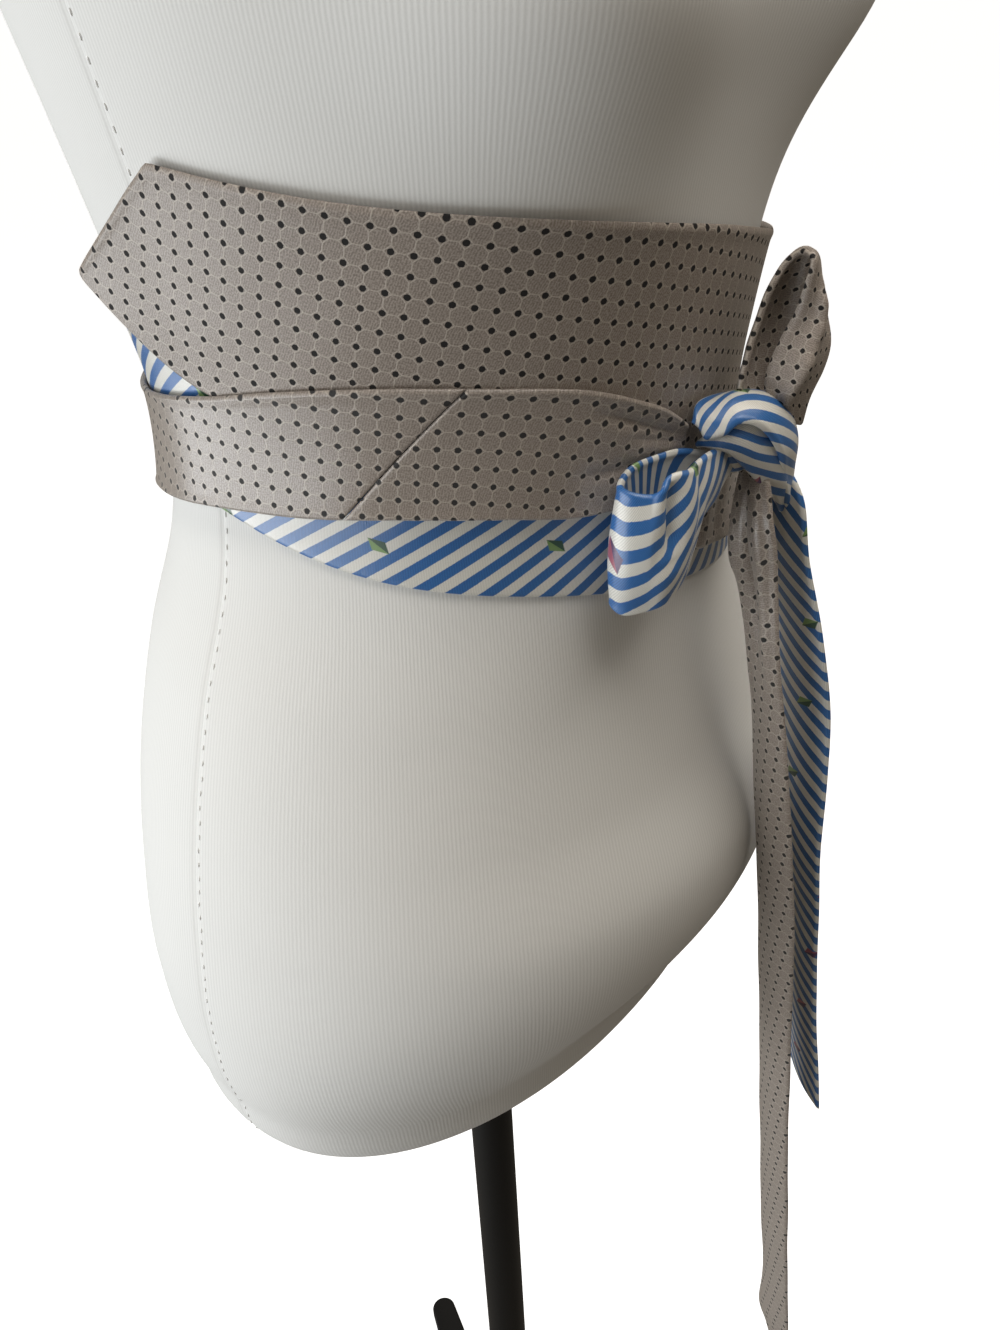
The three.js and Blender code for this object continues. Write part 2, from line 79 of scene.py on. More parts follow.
# The right strap and the bow round over less at their edges, by these shares.
RIGHT_ROLL, BOW_ROLL = 0.6, 0.7
KNOT = np.array((10, -138, 40))
CORE_RADIUS = 14
LEG_TURNS = (60, 180, 300)


def table(names, *rows):
    """A table as a dictionary of columns."""
    return dict(zip(names.split(), np.array(rows, float).T))


FORM = table(
    "height half front back square",
    (-302, 120, 60, 70, 2.0), (-290, 145, 85, 95, 2.1), (-250, 165, 105, 115, 2.2),
    (-200, 170, 135, 125, 2.2), (-150, 165, 145, 130, 2.1), (-100, 155, 130, 125, 2.1),
    (-50, 140, 120, 120, 2.0), (0, 120, 115, 105, 2.0), (50, 114, 120, 100, 2.0),
    (100, 120, 126, 110, 2.1), (150, 130, 130, 120, 2.1), (200, 140, 135, 125, 2.2),
    (260, 150, 120, 120, 2.3), (305, 162, 100, 115, 2.3), (340, 164, 85, 100, 2.2),
    (362, 142, 70, 90, 2.1), (382, 96, 60, 70, 2.1), (402, 64, 52, 60, 2.0),
    (428, 56, 49, 57, 2.0), (452, 55, 48, 56, 2.0),
)
BUST_RISE, BUST_TURN, BUST_SPREAD, BUST_HEIGHT, BUST_DEPTH = 26, 26, 21, 185, 48

UNDER_PANEL = table(
    "turn top bottom lift",
    (-130, 104, 58, 3), (-110, 110, 36, 2.2), (-85, 108, 23, 1), (-60, 98, 8, 0.7),
    (-30, 85, -5, 0.7), (0, 71, -20, 0.7), (30, 57, -33, 0.7), (60, 49, -38, 0.7),
    (85, 48, -36, 0.7), (105, 52, -24, 0.7), (125, 58, 11, 0.7),
)
OUTER_PANEL = table(
    "turn top bottom lift",
    (-107, 106, 103, 12), (-101, 115, 91, 8.8), (-95, 125, 79, 5.3), (-89, 135, 71, 3),
    (-85, 141, 68, 2.6), (-83, 144, 66, 2.5), (-81, 143.5, 63.5, 2.4), (-74, 141, 54, 2.4),
    (-60, 136, 47, 2.4), (-30, 127, 38, 2.4), (0, 114, 24, 2.4), (25, 101, 12, 3.5),
    (50, 93, 4, 6.8), (74, 91, 3, 6.3), (84, 90, 13, 5.4), (90, 80, 19, 5.2),
    (96, 70, 27, 5.8), (102, 60, 37, 8), (108, 52, 49, 11.5),
)
RIGHT_STRAP = table(
    "turn top bottom lift",
    (-235, 58, 12, 0.7), (-225, 58, 12, 1.5), (-215, 58, 12, 2.7), (-180, 60, 14, 2.7),
    (-155, 57, 12, 3.2), (-140, 56, 11, 4.7), (-125, 57, 13, 5), (-110, 60, 19, 4.4),
    (-85, 69, 28, 4.4), (-70, 75, 30, 4.5), (-50, 78, 31, 4.3), (-37, 76, 29, 4.3),
    (-22, 70, 24, 4.3), (-14, 63, 24, 4.6), (-7, 55, 28, 5.2), (-3, 48, 34, 6.5),
)
LEFT_STRAP = table(
    "turn top bottom lift",
    (230, 104, 58, 0.7), (215, 91, 46, 0.7), (200, 74, 29, 0.7), (180, 50, 5, 0.7),
    (160, 27, -18, 0.7), (145, 11, -34, 0.7), (135, 7, -37, 1.6), (125, 6, -39, 2.6),
    (100, 10, -35, 5.2), (75, 17, -29, 8.2), (50, 28, -19, 8.8), (34, 32, -15, 8),
    (24, 32, -14, 9.5), (17, 31, -12, 10), (11, 29, -10, 9.5), (5, 26, -8, 8), (-2, 24, -5, 7),
)

# The bow. A strap's middle line is side (to the wearer's left), out and up from the knot's
# middle. Its width runs from its near edge to its far edge at a lean above the level and
# a swing round from side towards out, in degrees. Low and span say which part of the cut
# cloth's width lies between the edges.
BOW = "side out up width lean swing bulge low span"
UPPER_TURN = table(
    BOW,
    (-18, -6, 7, 8, 45, -110, 1, 9, 18), (-13, -4, 10, 18, 20, -65, 3, 5, 25),
    (-3, 0, 11, 26, 0, -35, 5.5, 2, 27), (6, 7, 8, 28, 0, -20, 5, -1, 25),
    (12, 11, -2, 22, 5, -17, 3.5, -10, 22), (16, 10, -15, 15, 5, -16, 2.5, -20, 13),
    (20, 10, -29, 7, 25, -30, 0.5, -29, 7),
)
LOWER_TURN = table(
    BOW,
    (-10, -11, -2, 2, 60, 0, 0.2, -7, 6), (-12, -5, 2, 5, 85, 0, 1, -9, 14),
    (-9, 2, 4, 12, 75, 20, 3.5, -10, 21), (-3, 6, 0, 18, 78, 40, 4.5, -14, 27),
    (5, 9, -8, 20, 78, 60, 4, -20, 27), (11, 10, -16, 16, 80, 60, 3, -23, 21),
    (20, 9, -31, 7, 70, 55, 0.3, -29, 7),
)
STRIPED_LOOP = table(
    BOW,
    (-11, -7, -5, 5, 75, 140, 0, 92, -10), (-21, -10, -11, 24, 86, 180, 1, 90, -13),
    (-31, -13, -20, 44, 86, 170, 1, 82, -13), (-45, -16, -23, 49, 88, 90, 1, 28, 22),
    (-55, -14, -24, 46, 87, 50, 2, 5, 31), (-56, -9, -26, 47, 87, 55, 3, 1, 34),
    (-51, -3, -26, 45, 88, 90, 4, -3, 37), (-48, 1, -23, 46, 86, 160, 4, -7, 42),
    (-41, 2, -19, 44, 82, 170, 4, -14, 44), (-35, 2, -15, 34, 81, 170, 4, -17, 40),
    (-29, 1, -10, 25, 79, 165, 3, -12, 28), (-20, 0, -8, 21, 74, 175, 2, -14, 22),
    (-11, -1, -6, 14, 65, 185, 1, -18, 18), (-4, -1, -6, 10, 52, 195, 0, -21, 15),
)
DOTTED_LOOP = table(
    BOW,
    (10, 2, 3, 12, -8, 15, 0, 0, 14), (7, 1, 14, 18, -14, 14, 4, 0, 20),
    (11, 2, 27, 22, -13, 17, 7, 0, 27), (15, 3, 38, 21, -11, 20, 7, 0, 27),
    (17, 4, 48, 19, -13, 19, 5, 0, 24), (19, 6, 56, 14, -20, 21, 3, 0, 18),
    (20, 9, 61, 9, -26, 7, 1, 0, 14), (17, 14, 60, 8, -25, -16, 0.5, 0, 10),
    (17, 14, 51, 10, -24, 6, 1.5, 0, 14), (19, 13, 41, 14, -13, 22, 3, 0, 22),
    (19, 12, 32, 19, -12, 35, 5, 0, 30), (17, 10, 22, 21, -3, 37, 6, 0, 32),
    (15, 9, 13, 17, -10, 38, 4, 0, 24), (15, 10, 3, 15, -20, 16, 1, 0, 18),
)
DOTTED_TAIL = table(
    BOW,
    (7, 3, -8, 8, 0, -90, 0, 0, 14), (3, 5, -16, 14, -8, -86, -1, 0, 22),
    (2, 6, -31, 20, -16, -81, -2, 0, 26), (3, 7, -45, 23, -22, -82, -2, 0, 27),
    (6, 9, -62, 21, -10, -73, -2, 0, 27), (10, 13, -100, 22, 0, -63, -3, 0, 28),
    (15, 17, -150, 25, 0, -63, -3, 0, 28), (20, 20, -200, 25, 0, -68, -3, 0, 28),
    (27, 22, -260, 25, 0, -68, -3, 0, 28), (34, 25, -350, 25, 0, -64, -3, 0, 28),
    (40, 30, -450, 25, 0, -64, -3, 0, 28), (47, 35, -545, 26, 4, -62, -3, 0, 28),
    (49, 36, -585, 29, 4, -66, -2, 0, 28), (50, 39, -600, 21, 0, -68, -1, 4, 20),
    (51, 39, -617, 5, 0, -63, 0, 11, 5),
)
STRIPED_TAIL = table(
    BOW,
    (19, 7, -14, 5, 0, -90, 0, 0, 16), (19, 11, -28, 15, -8, -81, -1, 0, 22),
    (23, 11, -52, 22, 0, -76, -1, 0, 24), (29, 16, -85, 26, 0, -73, -2, 0, 26),
    (34, 19, -120, 28, 0, -74, -3, 0, 28), (37, 21, -155, 28, 0, -70, -3, 0, 28),
    (41, 22, -200, 27, 0, -65, -3, 0, 28), (48, 25, -260, 25, 0, -59, -3, 0, 28),
    (53, 28, -320, 25, 5, -60, -3, 0, 28), (58, 32, -376, 31, 40, -71, -2, 0, 28),
)


# ------------------------------------------------------------------ shared shapes
def column(rows, key, name, at):
    """A column of a table at any values of its key, on a smooth curve through the rows."""
    keys, values = rows[key], rows[name]
    if keys[0] > keys[-1]:
        keys, values = keys[::-1], values[::-1]
    spans = np.diff(keys)
    slopes = np.diff(values) / spans
    tangents = np.concatenate((
        slopes[:1],
        (slopes[:-1] * spans[1:] + slopes[1:] * spans[:-1]) / (spans[:-1] + spans[1:]),
        slopes[-1:]))
    i = np.clip(np.searchsorted(keys, at, side="right") - 1, 0, len(spans) - 1)
    t = np.clip((at - keys[i]) / spans[i], 0, 1)
    return ((2 * t**3 - 3 * t**2 + 1) * values[i] + (t**3 - 2 * t**2 + t) * spans[i] * tangents[i]
            + (3 * t**2 - 2 * t**3) * values[i + 1] + (t**3 - t**2) * spans[i] * tangents[i + 1])


def form_radius(turn, height):
    """The form's radius, in millimetres."""
    half, front, back, square = (column(FORM, "height", name, height)
                                 for name in ("half", "front", "back", "square"))
    across = np.abs(np.sin(np.radians(turn)))
    along = np.cos(np.radians(turn))
    depth = np.where(along > 0, front, back)
    plain = ((across / half) ** square + (np.abs(along) / depth) ** square) ** (-1 / square)
    facing = (np.asarray(turn) + 180) % 360 - 180
    lobes = sum(np.exp(-(((facing - side * BUST_TURN) / BUST_SPREAD) ** 2)) for side in (1, -1))
    return plain + BUST_RISE * np.exp(-(((height - BUST_HEIGHT) / BUST_DEPTH) ** 2)) * lobes


def on_form(turn, height, lift):
    """Points on the form, or lifted off it, in millimetres."""
    turn, height, lift = np.broadcast_arrays(turn, height, lift)
    radius = form_radius(turn, height) + lift
    angle = np.radians(turn)
    return np.stack((radius * np.sin(angle), -radius * np.cos(angle), WAIST_HEIGHT + height), -1)


def unit(vectors):
    """Vectors made one long."""
    return vectors / np.maximum(np.linalg.norm(vectors, axis=-1, keepdims=True), 1e-9)


def stations(length, step, roll):
    """Distances along a cloth, closer together where its two ends roll over."""
    near = roll * (1 - np.cos(np.radians(np.linspace(0, 90, ROLL_COLUMNS))))
    near = near * min(1, 0.45 * length / roll)
    count = max(2, int(round((length - 2 * near[-1]) / step)))
    middle = np.linspace(near[-1], length - near[-1], count + 1)
    return np.concatenate((near[:-1], middle, length - near[-2::-1]))


def rolled(distance, roll):
    """How thick a folded edge is at a distance from it, as a share of the full wall."""
    inward = np.clip(1 - distance / roll, 0, 1)
    return np.sqrt(1 - inward**2)


def waves(u, v, amount):
    """A slow unevenness of the cloth, the same in each run."""
    return amount * (0.5 * np.sin(u / 17 + v / 23 + 0.6) + 0.3 * np.sin(u / 9.1 - v / 13 + 2.1)
                     + 0.2 * np.sin(u / 31 + v / 7.3 + 4.0))


def creased(u, v, creases):
    """The rise of listed folds: each from one point to another, with a width and a depth."""
    rise = np.zeros_like(u)
    for u0, v0, u1, v1, width, depth in creases:
        du, dv = u1 - u0, v1 - v0
        along = np.clip(((u - u0) * du + (v - v0) * dv) / (du * du + dv * dv), 0, 1)
        away = np.hypot(u - u0 - along * du, v - v0 - along * dv)
        ends = np.clip(np.minimum(along, 1 - along) * 4, 0, 1)
        rise += depth * np.exp(-((away / width) ** 2)) * (0.35 + 0.65 * ends)
    return rise


def surface_normals(points):
    """Unit normals of a grid of points: along crossed with across."""
    along = np.gradient(points, axis=0)
    across = np.gradient(points, axis=1)
    return unit(np.cross(along, across))


# ------------------------------------------------------------------ pieces in Blender
def start_piece():
    """Leaves nothing selected, so an operator acts only on the new piece."""
    if bpy.context.mode != "OBJECT":
        bpy.ops.object.mode_set(mode="OBJECT")
    bpy.ops.object.select_all(action="DESELECT")


def edit(*steps):
    """Runs edit-mode operators, each a name with its settings, on the whole active mesh."""
    bpy.ops.object.mode_set(mode="EDIT")
    bpy.ops.mesh.select_all(action="SELECT")
    for name, settings in steps:
        getattr(bpy.ops.mesh, name)(**settings)
    bpy.ops.object.mode_set(mode="OBJECT")


def finish_piece(piece, name, finishes, slot, *nodes):
    """Names a piece, gives it its finishes and ties it to the frame."""
    piece.name = name
    piece.data.name = name
    piece.data.materials.clear()
    for finish in finishes:
        piece.data.materials.append(finish)
    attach(piece, "root")
    if nodes:
        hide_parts(*nodes)
    return piece


def lay(made, name, finishes, slot):
    """Finishes a cloth piece in its node's place."""
    piece, (width, length, area) = made
    finish_piece(piece, name + "_cloth", finishes, slot, name)


def cloth_grid(points, cut, faces):
    """A grid primitive laid through points, with the cut's coordinates in its UV map."""
    rows, columns = points.shape[:2]
    start_piece()
    bpy.ops.mesh.primitive_grid_add(x_subdivisions=columns - 1, y_subdivisions=rows - 1, size=1)
    piece = bpy.context.object
    mesh = piece.data
    mesh.vertices.foreach_set("co", (points * MM).astype(np.float32).ravel())
    corners = np.empty(len(mesh.loops), np.int32)
    mesh.loops.foreach_get("vertex_index", corners)
    layer = mesh.uv_layers[0]
    layer.name = "cut"
    layer.uv.foreach_set("vector", (cut.reshape(-1, 2)[corners] * MM).astype(np.float32).ravel())
    columns_of = corners.reshape(-1, 4) % columns
    mesh.polygons.foreach_set("material_index", faces[columns_of.min(axis=1)].astype(np.int32))
    mesh.update()
    return piece


def cloth_wall(middle, cut, wall, across, along, roll, sign=1, fat=0.0):
    """A wall of cloth on its middle surface, thinning to rolled edges, as one closed skin.

    across and along are each point's distances from the cloth's nearest edge and end."""
    normal = surface_normals(middle) * sign
    half = 0.5 * wall * rolled(across, roll) * rolled(along, roll)
    half = half * (1 + fat * np.exp(-(((across - 0.8 * roll) / (0.7 * roll)) ** 2)))
    outer = middle + normal * half[..., None]
    inner = middle - normal * half[..., None]
    skin = np.concatenate((outer, inner[:, -2::-1]), axis=1)
    laid = np.concatenate((cut, cut[:, -2::-1]), axis=1)
    outer_columns = middle.shape[1] - 1
    faces = (np.arange(skin.shape[1]) >= outer_columns).astype(int)
    piece = cloth_grid(skin, laid, faces)
    edit(("remove_doubles", {"threshold": MERGE}),
         ("normals_make_consistent", {"inside": False}))
    bpy.ops.object.shade_smooth()
    return piece


def turned_cut(u, v, grain):
    """The cut's coordinates turned by the grain's angle to the piece."""
    angle = math.radians(grain)
    return np.stack((u * math.cos(angle) + v * math.sin(angle),
                     v * math.cos(angle) - u * math.sin(angle)), -1)


def flat_sizes(u, v, cut):
    """The flat width and length of a cut, in metres, and its area in square metres."""
    a, b = cut[1:, :-1] - cut[:-1, :-1], cut[:-1, 1:] - cut[:-1, :-1]
    area = float(np.abs(a[..., 0] * b[..., 1] - a[..., 1] * b[..., 0]).sum())
    return float(np.ptp(v)) * MM, float(np.ptp(u)) * MM, area * MM * MM


def across_plan(width, step, roll):
    """Each row's distances from its low edge: true to size where the edges roll, spread between."""
    plan = stations(width.max(), step, roll)
    low = plan[:ROLL_COLUMNS] * np.minimum(1, width / (4 * roll))[:, None]
    high = width[:, None] - low[:, ::-1]
    share = np.linspace(0, 1, len(plan) - 2 * ROLL_COLUMNS + 2)[1:-1]
    middle = low[:, -1:] + share * (high[:, :1] - low[:, -1:])
    return np.concatenate((low, middle, high), axis=1)


def wrapped_cloth(rows, first, last, wall, roll, grain, shift=(0, 0), first_slant=0, last_slant=0,
                  creases=(), uneven=0.0, step=2.0, fat=0.0):
    """Cloth wrapped on the form from one turn to another. Returns the piece and its flat sizes."""
    way = math.copysign(1, last - first)
    per_turn = float(form_radius(0.5 * (first + last), BELT_LEVEL)) * math.radians(1)
    length = abs(last - first) * per_turn
    along = stations(length, step, roll)
    straight = first + way * along / per_turn
    lean = (first_slant * np.clip(1 - np.abs(straight - first) / SLANT_REACH, 0, 1)
            + last_slant * np.clip(1 - np.abs(straight - last) / SLANT_REACH, 0, 1))
    width = column(rows, "turn", "top", straight) - column(rows, "turn", "bottom", straight)
    distance = across_plan(width, step, roll)
    share = distance / width[:, None]
    turn = straight[:, None] + lean[:, None] * (share - 0.5)
    top, bottom, lift = (column(rows, "turn", name, turn) for name in ("top", "bottom", "lift"))
    height = bottom + (top - bottom) * share
    u, v = strip_cut(rows, turn, height)
    folds = [(a * per_turn, b, c * per_turn, d, wide, deep) for a, b, c, d, wide, deep in creases]
    lift = lift + wall / 2 + waves(u, v, uneven) + creased(turn * per_turn, height, folds)
    middle = on_form(turn, height, lift)
    across = np.minimum(distance, width[:, None] - distance)
    ends = np.minimum(along, length - along)[:, None] + np.zeros_like(distance)
    cut = turned_cut(u + shift[0], v + shift[1], grain)
    piece = cloth_wall(middle, cut, wall, across, ends, roll, sign=-way, fat=fat)
    return piece, flat_sizes(u, v, cut)


def strip_cut(axis, turn, height):
    """Cut coordinates of points on a wrapped strip: along its middle line and across it.

    The middle line is fitted where the strip has its full width, and runs on from there."""
    fine = np.arange(-262, 263, 1.0)
    width = axis["top"] - axis["bottom"]
    full = width > 0.75 * width.max()
    middle = 0.5 * (axis["top"] + axis["bottom"])
    curve = np.polynomial.Polynomial.fit(axis["turn"][full], middle[full], 5)
    first, last = sorted((axis["turn"][full][0], axis["turn"][full][-1]))
    held = np.clip(fine, first, last)
    line = curve(held) + curve.deriv()(held) * (fine - held)
    arc_step = np.radians(1.0) * form_radius(fine, line)
    tilt = np.arctan(np.gradient(line) / arc_step)
    arc = np.concatenate(([0], np.cumsum(np.hypot(arc_step[1:], np.diff(line)))))
    arc = arc - np.interp(0, fine, arc)
    away = height - np.interp(turn, fine, line)
    angle = np.interp(turn, fine, tilt)
    return np.interp(turn, fine, arc) + away * np.sin(angle), away * np.cos(angle)


def edged(rows):
    """The bow's rows with the places of each strap's near and far edges added."""
    lean, swing = np.radians(rows["lean"]), np.radians(rows["swing"])
    reach = {"side": np.cos(lean) * np.cos(swing), "out": np.cos(lean) * np.sin(swing),
             "up": np.sin(lean)}
    rows = dict(rows)
    for axis, share in reach.items():
        rows["near_" + axis] = rows[axis] - 0.5 * rows["width"] * share
        rows["far_" + axis] = rows[axis] + 0.5 * rows["width"] * share
    return rows


def free_cloth(rows, wall, roll, grain, shift=(0, 0), creases=(), uneven=0.0, step=1.2,
               face=1, fat=0.0, eased=1.0):
    """A free strap along a middle line. Returns the piece and its flat sizes.

    Eased is how much longer and wider the cloth is than the strap that its small folds make.
    A crease runs from a row and a share of the width to another, with a width and a depth."""
    keys = np.arange(len(rows["side"]), dtype=float)
    rows = dict(edged(rows), at=keys)
    fine = np.linspace(0, keys[-1], 40 * len(keys))

    def place(at, names):
        return np.stack([column(rows, "at", name, at) for name in names], -1)

    near_names, far_names = (["%s_%s" % (edge, axis) for axis in ("side", "out", "up")]
                             for edge in ("near", "far"))
    middle_line = 0.5 * (place(fine, near_names) + place(fine, far_names))
    arc = np.concatenate(([0], np.cumsum(np.linalg.norm(np.diff(middle_line, axis=0), axis=1))))
    along = stations(arc[-1], step, roll)
    at = np.interp(along, arc, fine)
    near, far = place(at, near_names), place(at, far_names)
    width = np.linalg.norm(far - near, axis=1)
    distance = across_plan(width, step, roll)
    share = distance / width[:, None]
    flat = near[:, None] + (far - near)[:, None] * share[..., None]
    flat = np.stack((KNOT[0] + flat[..., 0], KNOT[1] - flat[..., 1],
                     WAIST_HEIGHT + KNOT[2] + flat[..., 2]), -1)
    normal = surface_normals(flat)
    low, span, bulge = (column(rows, "at", name, at)[:, None] for name in ("low", "span", "bulge"))
    u = along[:, None] + np.zeros_like(share)
    v = low + span * share
    folds = [(np.interp(a, fine, arc), b * width.max(), np.interp(c, fine, arc), d * width.max(), *size)
             for a, b, c, d, *size in creases]
    rise = bulge * (1 - (2 * share - 1) ** 2) + waves(u, distance, uneven)
    rise = rise + creased(u, share * width.max(), folds)
    middle = flat + normal * rise[..., None]
    across = np.minimum(distance, width[:, None] - distance)
    ends = np.minimum(along, arc[-1] - along)[:, None] + np.zeros_like(share)
    cut = turned_cut(eased * u + shift[0], eased * v + shift[1], grain)
    piece = cloth_wall(middle, cut, wall, across, ends, roll, sign=face, fat=fat)
    girth = np.linalg.norm(np.diff(middle, axis=1), axis=-1).sum(axis=1)
    area = float((0.5 * (girth[1:] + girth[:-1]) * np.diff(along)).sum())
    return piece, (float(girth.max()) * MM, float(arc[-1]) * MM, area * MM * MM)


# ------------------------------------------------------------------ finishes
def new_finish(name):
    """An empty node material with its shader; returns the material, its tree and the shader."""
    finish = bpy.data.materials.new(name)
    finish.use_nodes = True
    tree = finish.node_tree
    return finish, tree, tree.nodes["Principled BSDF"]


def set_inputs(shader, values):
    """Sets a shader's or a node's own sockets by their names."""
    for name, value in values.items():
        shader.inputs[name].default_value = value


def plug(tree, socket, value):
    """Links a socket to another node's result, or sets it to a plain value."""
    if isinstance(value, bpy.types.NodeSocket):
        tree.links.new(value, socket)
    elif value is not None:
        socket.default_value = value


def node(tree, kind, *inputs, **settings):
    """Adds a node, with its settings and its inputs in order, and returns it."""
    made = tree.nodes.new(kind)
    for name, value in settings.items():
        setattr(made, name, value)
    for socket, value in zip(made.inputs, inputs):
        plug(tree, socket, value)
    return made


def maths(tree, operation, *inputs):
    """The result of a maths node."""
    return node(tree, "ShaderNodeMath", *inputs, operation=operation).outputs[0]


def vector_maths(tree, operation, *inputs):
    """The result of a vector maths node."""
    return node(tree, "ShaderNodeVectorMath", *inputs, operation=operation).outputs[0]


def ramp(tree, value, start, end):
    """0 below start and 1 above end, softly; start may be the larger."""
    made = node(tree, "ShaderNodeMapRange", interpolation_type="SMOOTHSTEP")
    tree.links.new(value, made.inputs["Value"])
    rising = start < end
    set_inputs(made, {"From Min": min(start, end), "From Max": max(start, end),
                      "To Min": 0 if rising else 1, "To Max": 1 if rising else 0})
    return made.outputs["Result"]


def blend(tree, share, a, b):
    """Colour a turning into colour b by share, where a colour is a node's or three numbers."""
    made = node(tree, "ShaderNodeMix", data_type="RGBA")
    plug(tree, made.inputs[0], share)
    for socket, colour in ((made.inputs[6], a), (made.inputs[7], b)):
        plain = not isinstance(colour, bpy.types.NodeSocket)
        plug(tree, socket, (*colour, 1) if plain else colour)
    return made.outputs[2]


def cut_vector(tree, scale):
    """The cut's coordinates, in units of the given length."""
    layer = node(tree, "ShaderNodeUVMap", uv_map="cut")
    return vector_maths(tree, "MULTIPLY", layer.outputs[0], (1 / scale, 1 / scale, 1))


def split(tree, vector):
    """A vector's X and Y."""
    parts = node(tree, "ShaderNodeSeparateXYZ", vector)
    return parts.outputs[0], parts.outputs[1]


def bands(tree, vector, period, distortion):
    """Fine ridges across X of a vector in metres, from 0 to 1."""
    wave = node(tree, "ShaderNodeTexWave", vector, bands_direction="X")
    set_inputs(wave, {"Scale": math.pi / 10 / period, "Distortion": distortion,
                      "Detail": 1.0, "Detail Scale": 1.5})
    return wave.outputs["Fac"]


def noise(tree, vector, size, detail=2.0):
    """Noise from 0 to 1, with blots of about the given size."""
    made = node(tree, "ShaderNodeTexNoise", vector)
    set_inputs(made, {"Scale": 1 / size, "Detail": detail})
    return made.outputs["Fac"]


def turned_vector(tree, angle):
    """The cut's coordinates turned by an angle, for a twill's slant."""
    vector = cut_vector(tree, 1)
    return node(tree, "ShaderNodeMapping", vector, None, (0, 0, math.radians(angle))).outputs[0]


def bump(tree, height, distance, shader, strength):
    """Gives a shader a fine relief."""
    made = node(tree, "ShaderNodeBump")
    set_inputs(made, {"Strength": strength, "Distance": distance})
    tree.links.new(height, made.inputs["Height"])
    tree.links.new(made.outputs[0], shader.inputs["Normal"])


def stretched_gloss(tree, shader):
    """Spreads the gloss across the cut's length, as long threads do."""
    along = node(tree, "ShaderNodeTangent", direction_type="UV_MAP", uv_map="cut")
    tree.links.new(along.outputs[0], shader.inputs["Tangent"])
    set_inputs(shader, {"Anisotropic": 0.5, "Anisotropic Rotation": 0.25})


def dotted_jacquard(cloth, name, roughness, gloss, sheen):
    """Taupe twill with black dots in small diamonds, joined by fine cream lines."""
    finish, tree, shader = new_finish(name)
    pitch = cloth.dot_pitch
    cell = vector_maths(tree, "FRACTION", cut_vector(tree, pitch))
    centred = vector_maths(tree, "SUBTRACT", cell, (0.5, 0.5, 0))
    x, y = split(tree, vector_maths(tree, "ABSOLUTE", centred))
    reach = maths(tree, "ADD", x, y)
    corner = cloth.diamond_reach / pitch
    past_corner = maths(tree, "ABSOLUTE", maths(tree, "SUBTRACT", reach, corner))
    diamond = maths(tree, "MULTIPLY", past_corner, math.sqrt(0.5))
    straight = maths(tree, "ADD", maths(tree, "MINIMUM", x, y), maths(tree, "LESS_THAN", reach, corner))
    half_line = 0.5 * cloth.line_width / pitch
    line = ramp(tree, maths(tree, "MINIMUM", diamond, straight), 1.35 * half_line, 0.65 * half_line)
    radius = 0.5 * cloth.dot_size / pitch
    ragged = maths(tree, "MULTIPLY_ADD", noise(tree, cut_vector(tree, 1), 0.0006), 0.05, -0.025)
    squares = maths(tree, "ADD", maths(tree, "MULTIPLY", x, x), maths(tree, "MULTIPLY", y, y))
    apart = maths(tree, "ADD", maths(tree, "SQRT", squares), ragged)
    dot = ramp(tree, apart, 1.08 * radius, 0.92 * radius)
    twill = bands(tree, turned_vector(tree, 12), cloth.twill_pitch, 3.0)
    grain = noise(tree, cut_vector(tree, 1), 0.0006, 2.0)
    shade = maths(tree, "MULTIPLY_ADD", twill, 0.14, maths(tree, "MULTIPLY", grain, 0.86))
    ground = blend(tree, ramp(tree, shade, 0.33, 0.67), cloth.taupe_dark, cloth.taupe_light)
    lined = blend(tree, maths(tree, "MULTIPLY", line, 0.45), ground, cloth.cream)
    dotted = blend(tree, dot, lined, cloth.dot_black)
    tree.links.new(dotted, shader.inputs["Base Color"])
    relief = maths(tree, "MULTIPLY_ADD", line, 0.35, maths(tree, "MULTIPLY", shade, 0.6))
    relief = maths(tree, "SUBTRACT", relief, maths(tree, "MULTIPLY", dot, 0.4))
    bump(tree, relief, 0.0002, shader, 0.5)
    stretched_gloss(tree, shader)
    tree.links.new(maths(tree, "MULTIPLY_ADD", dot, 0.5, roughness), shader.inputs["Roughness"])
    set_inputs(shader, {"Specular IOR Level": gloss, "Sheen Weight": sheen, "Sheen Roughness": 0.45})
    return finish


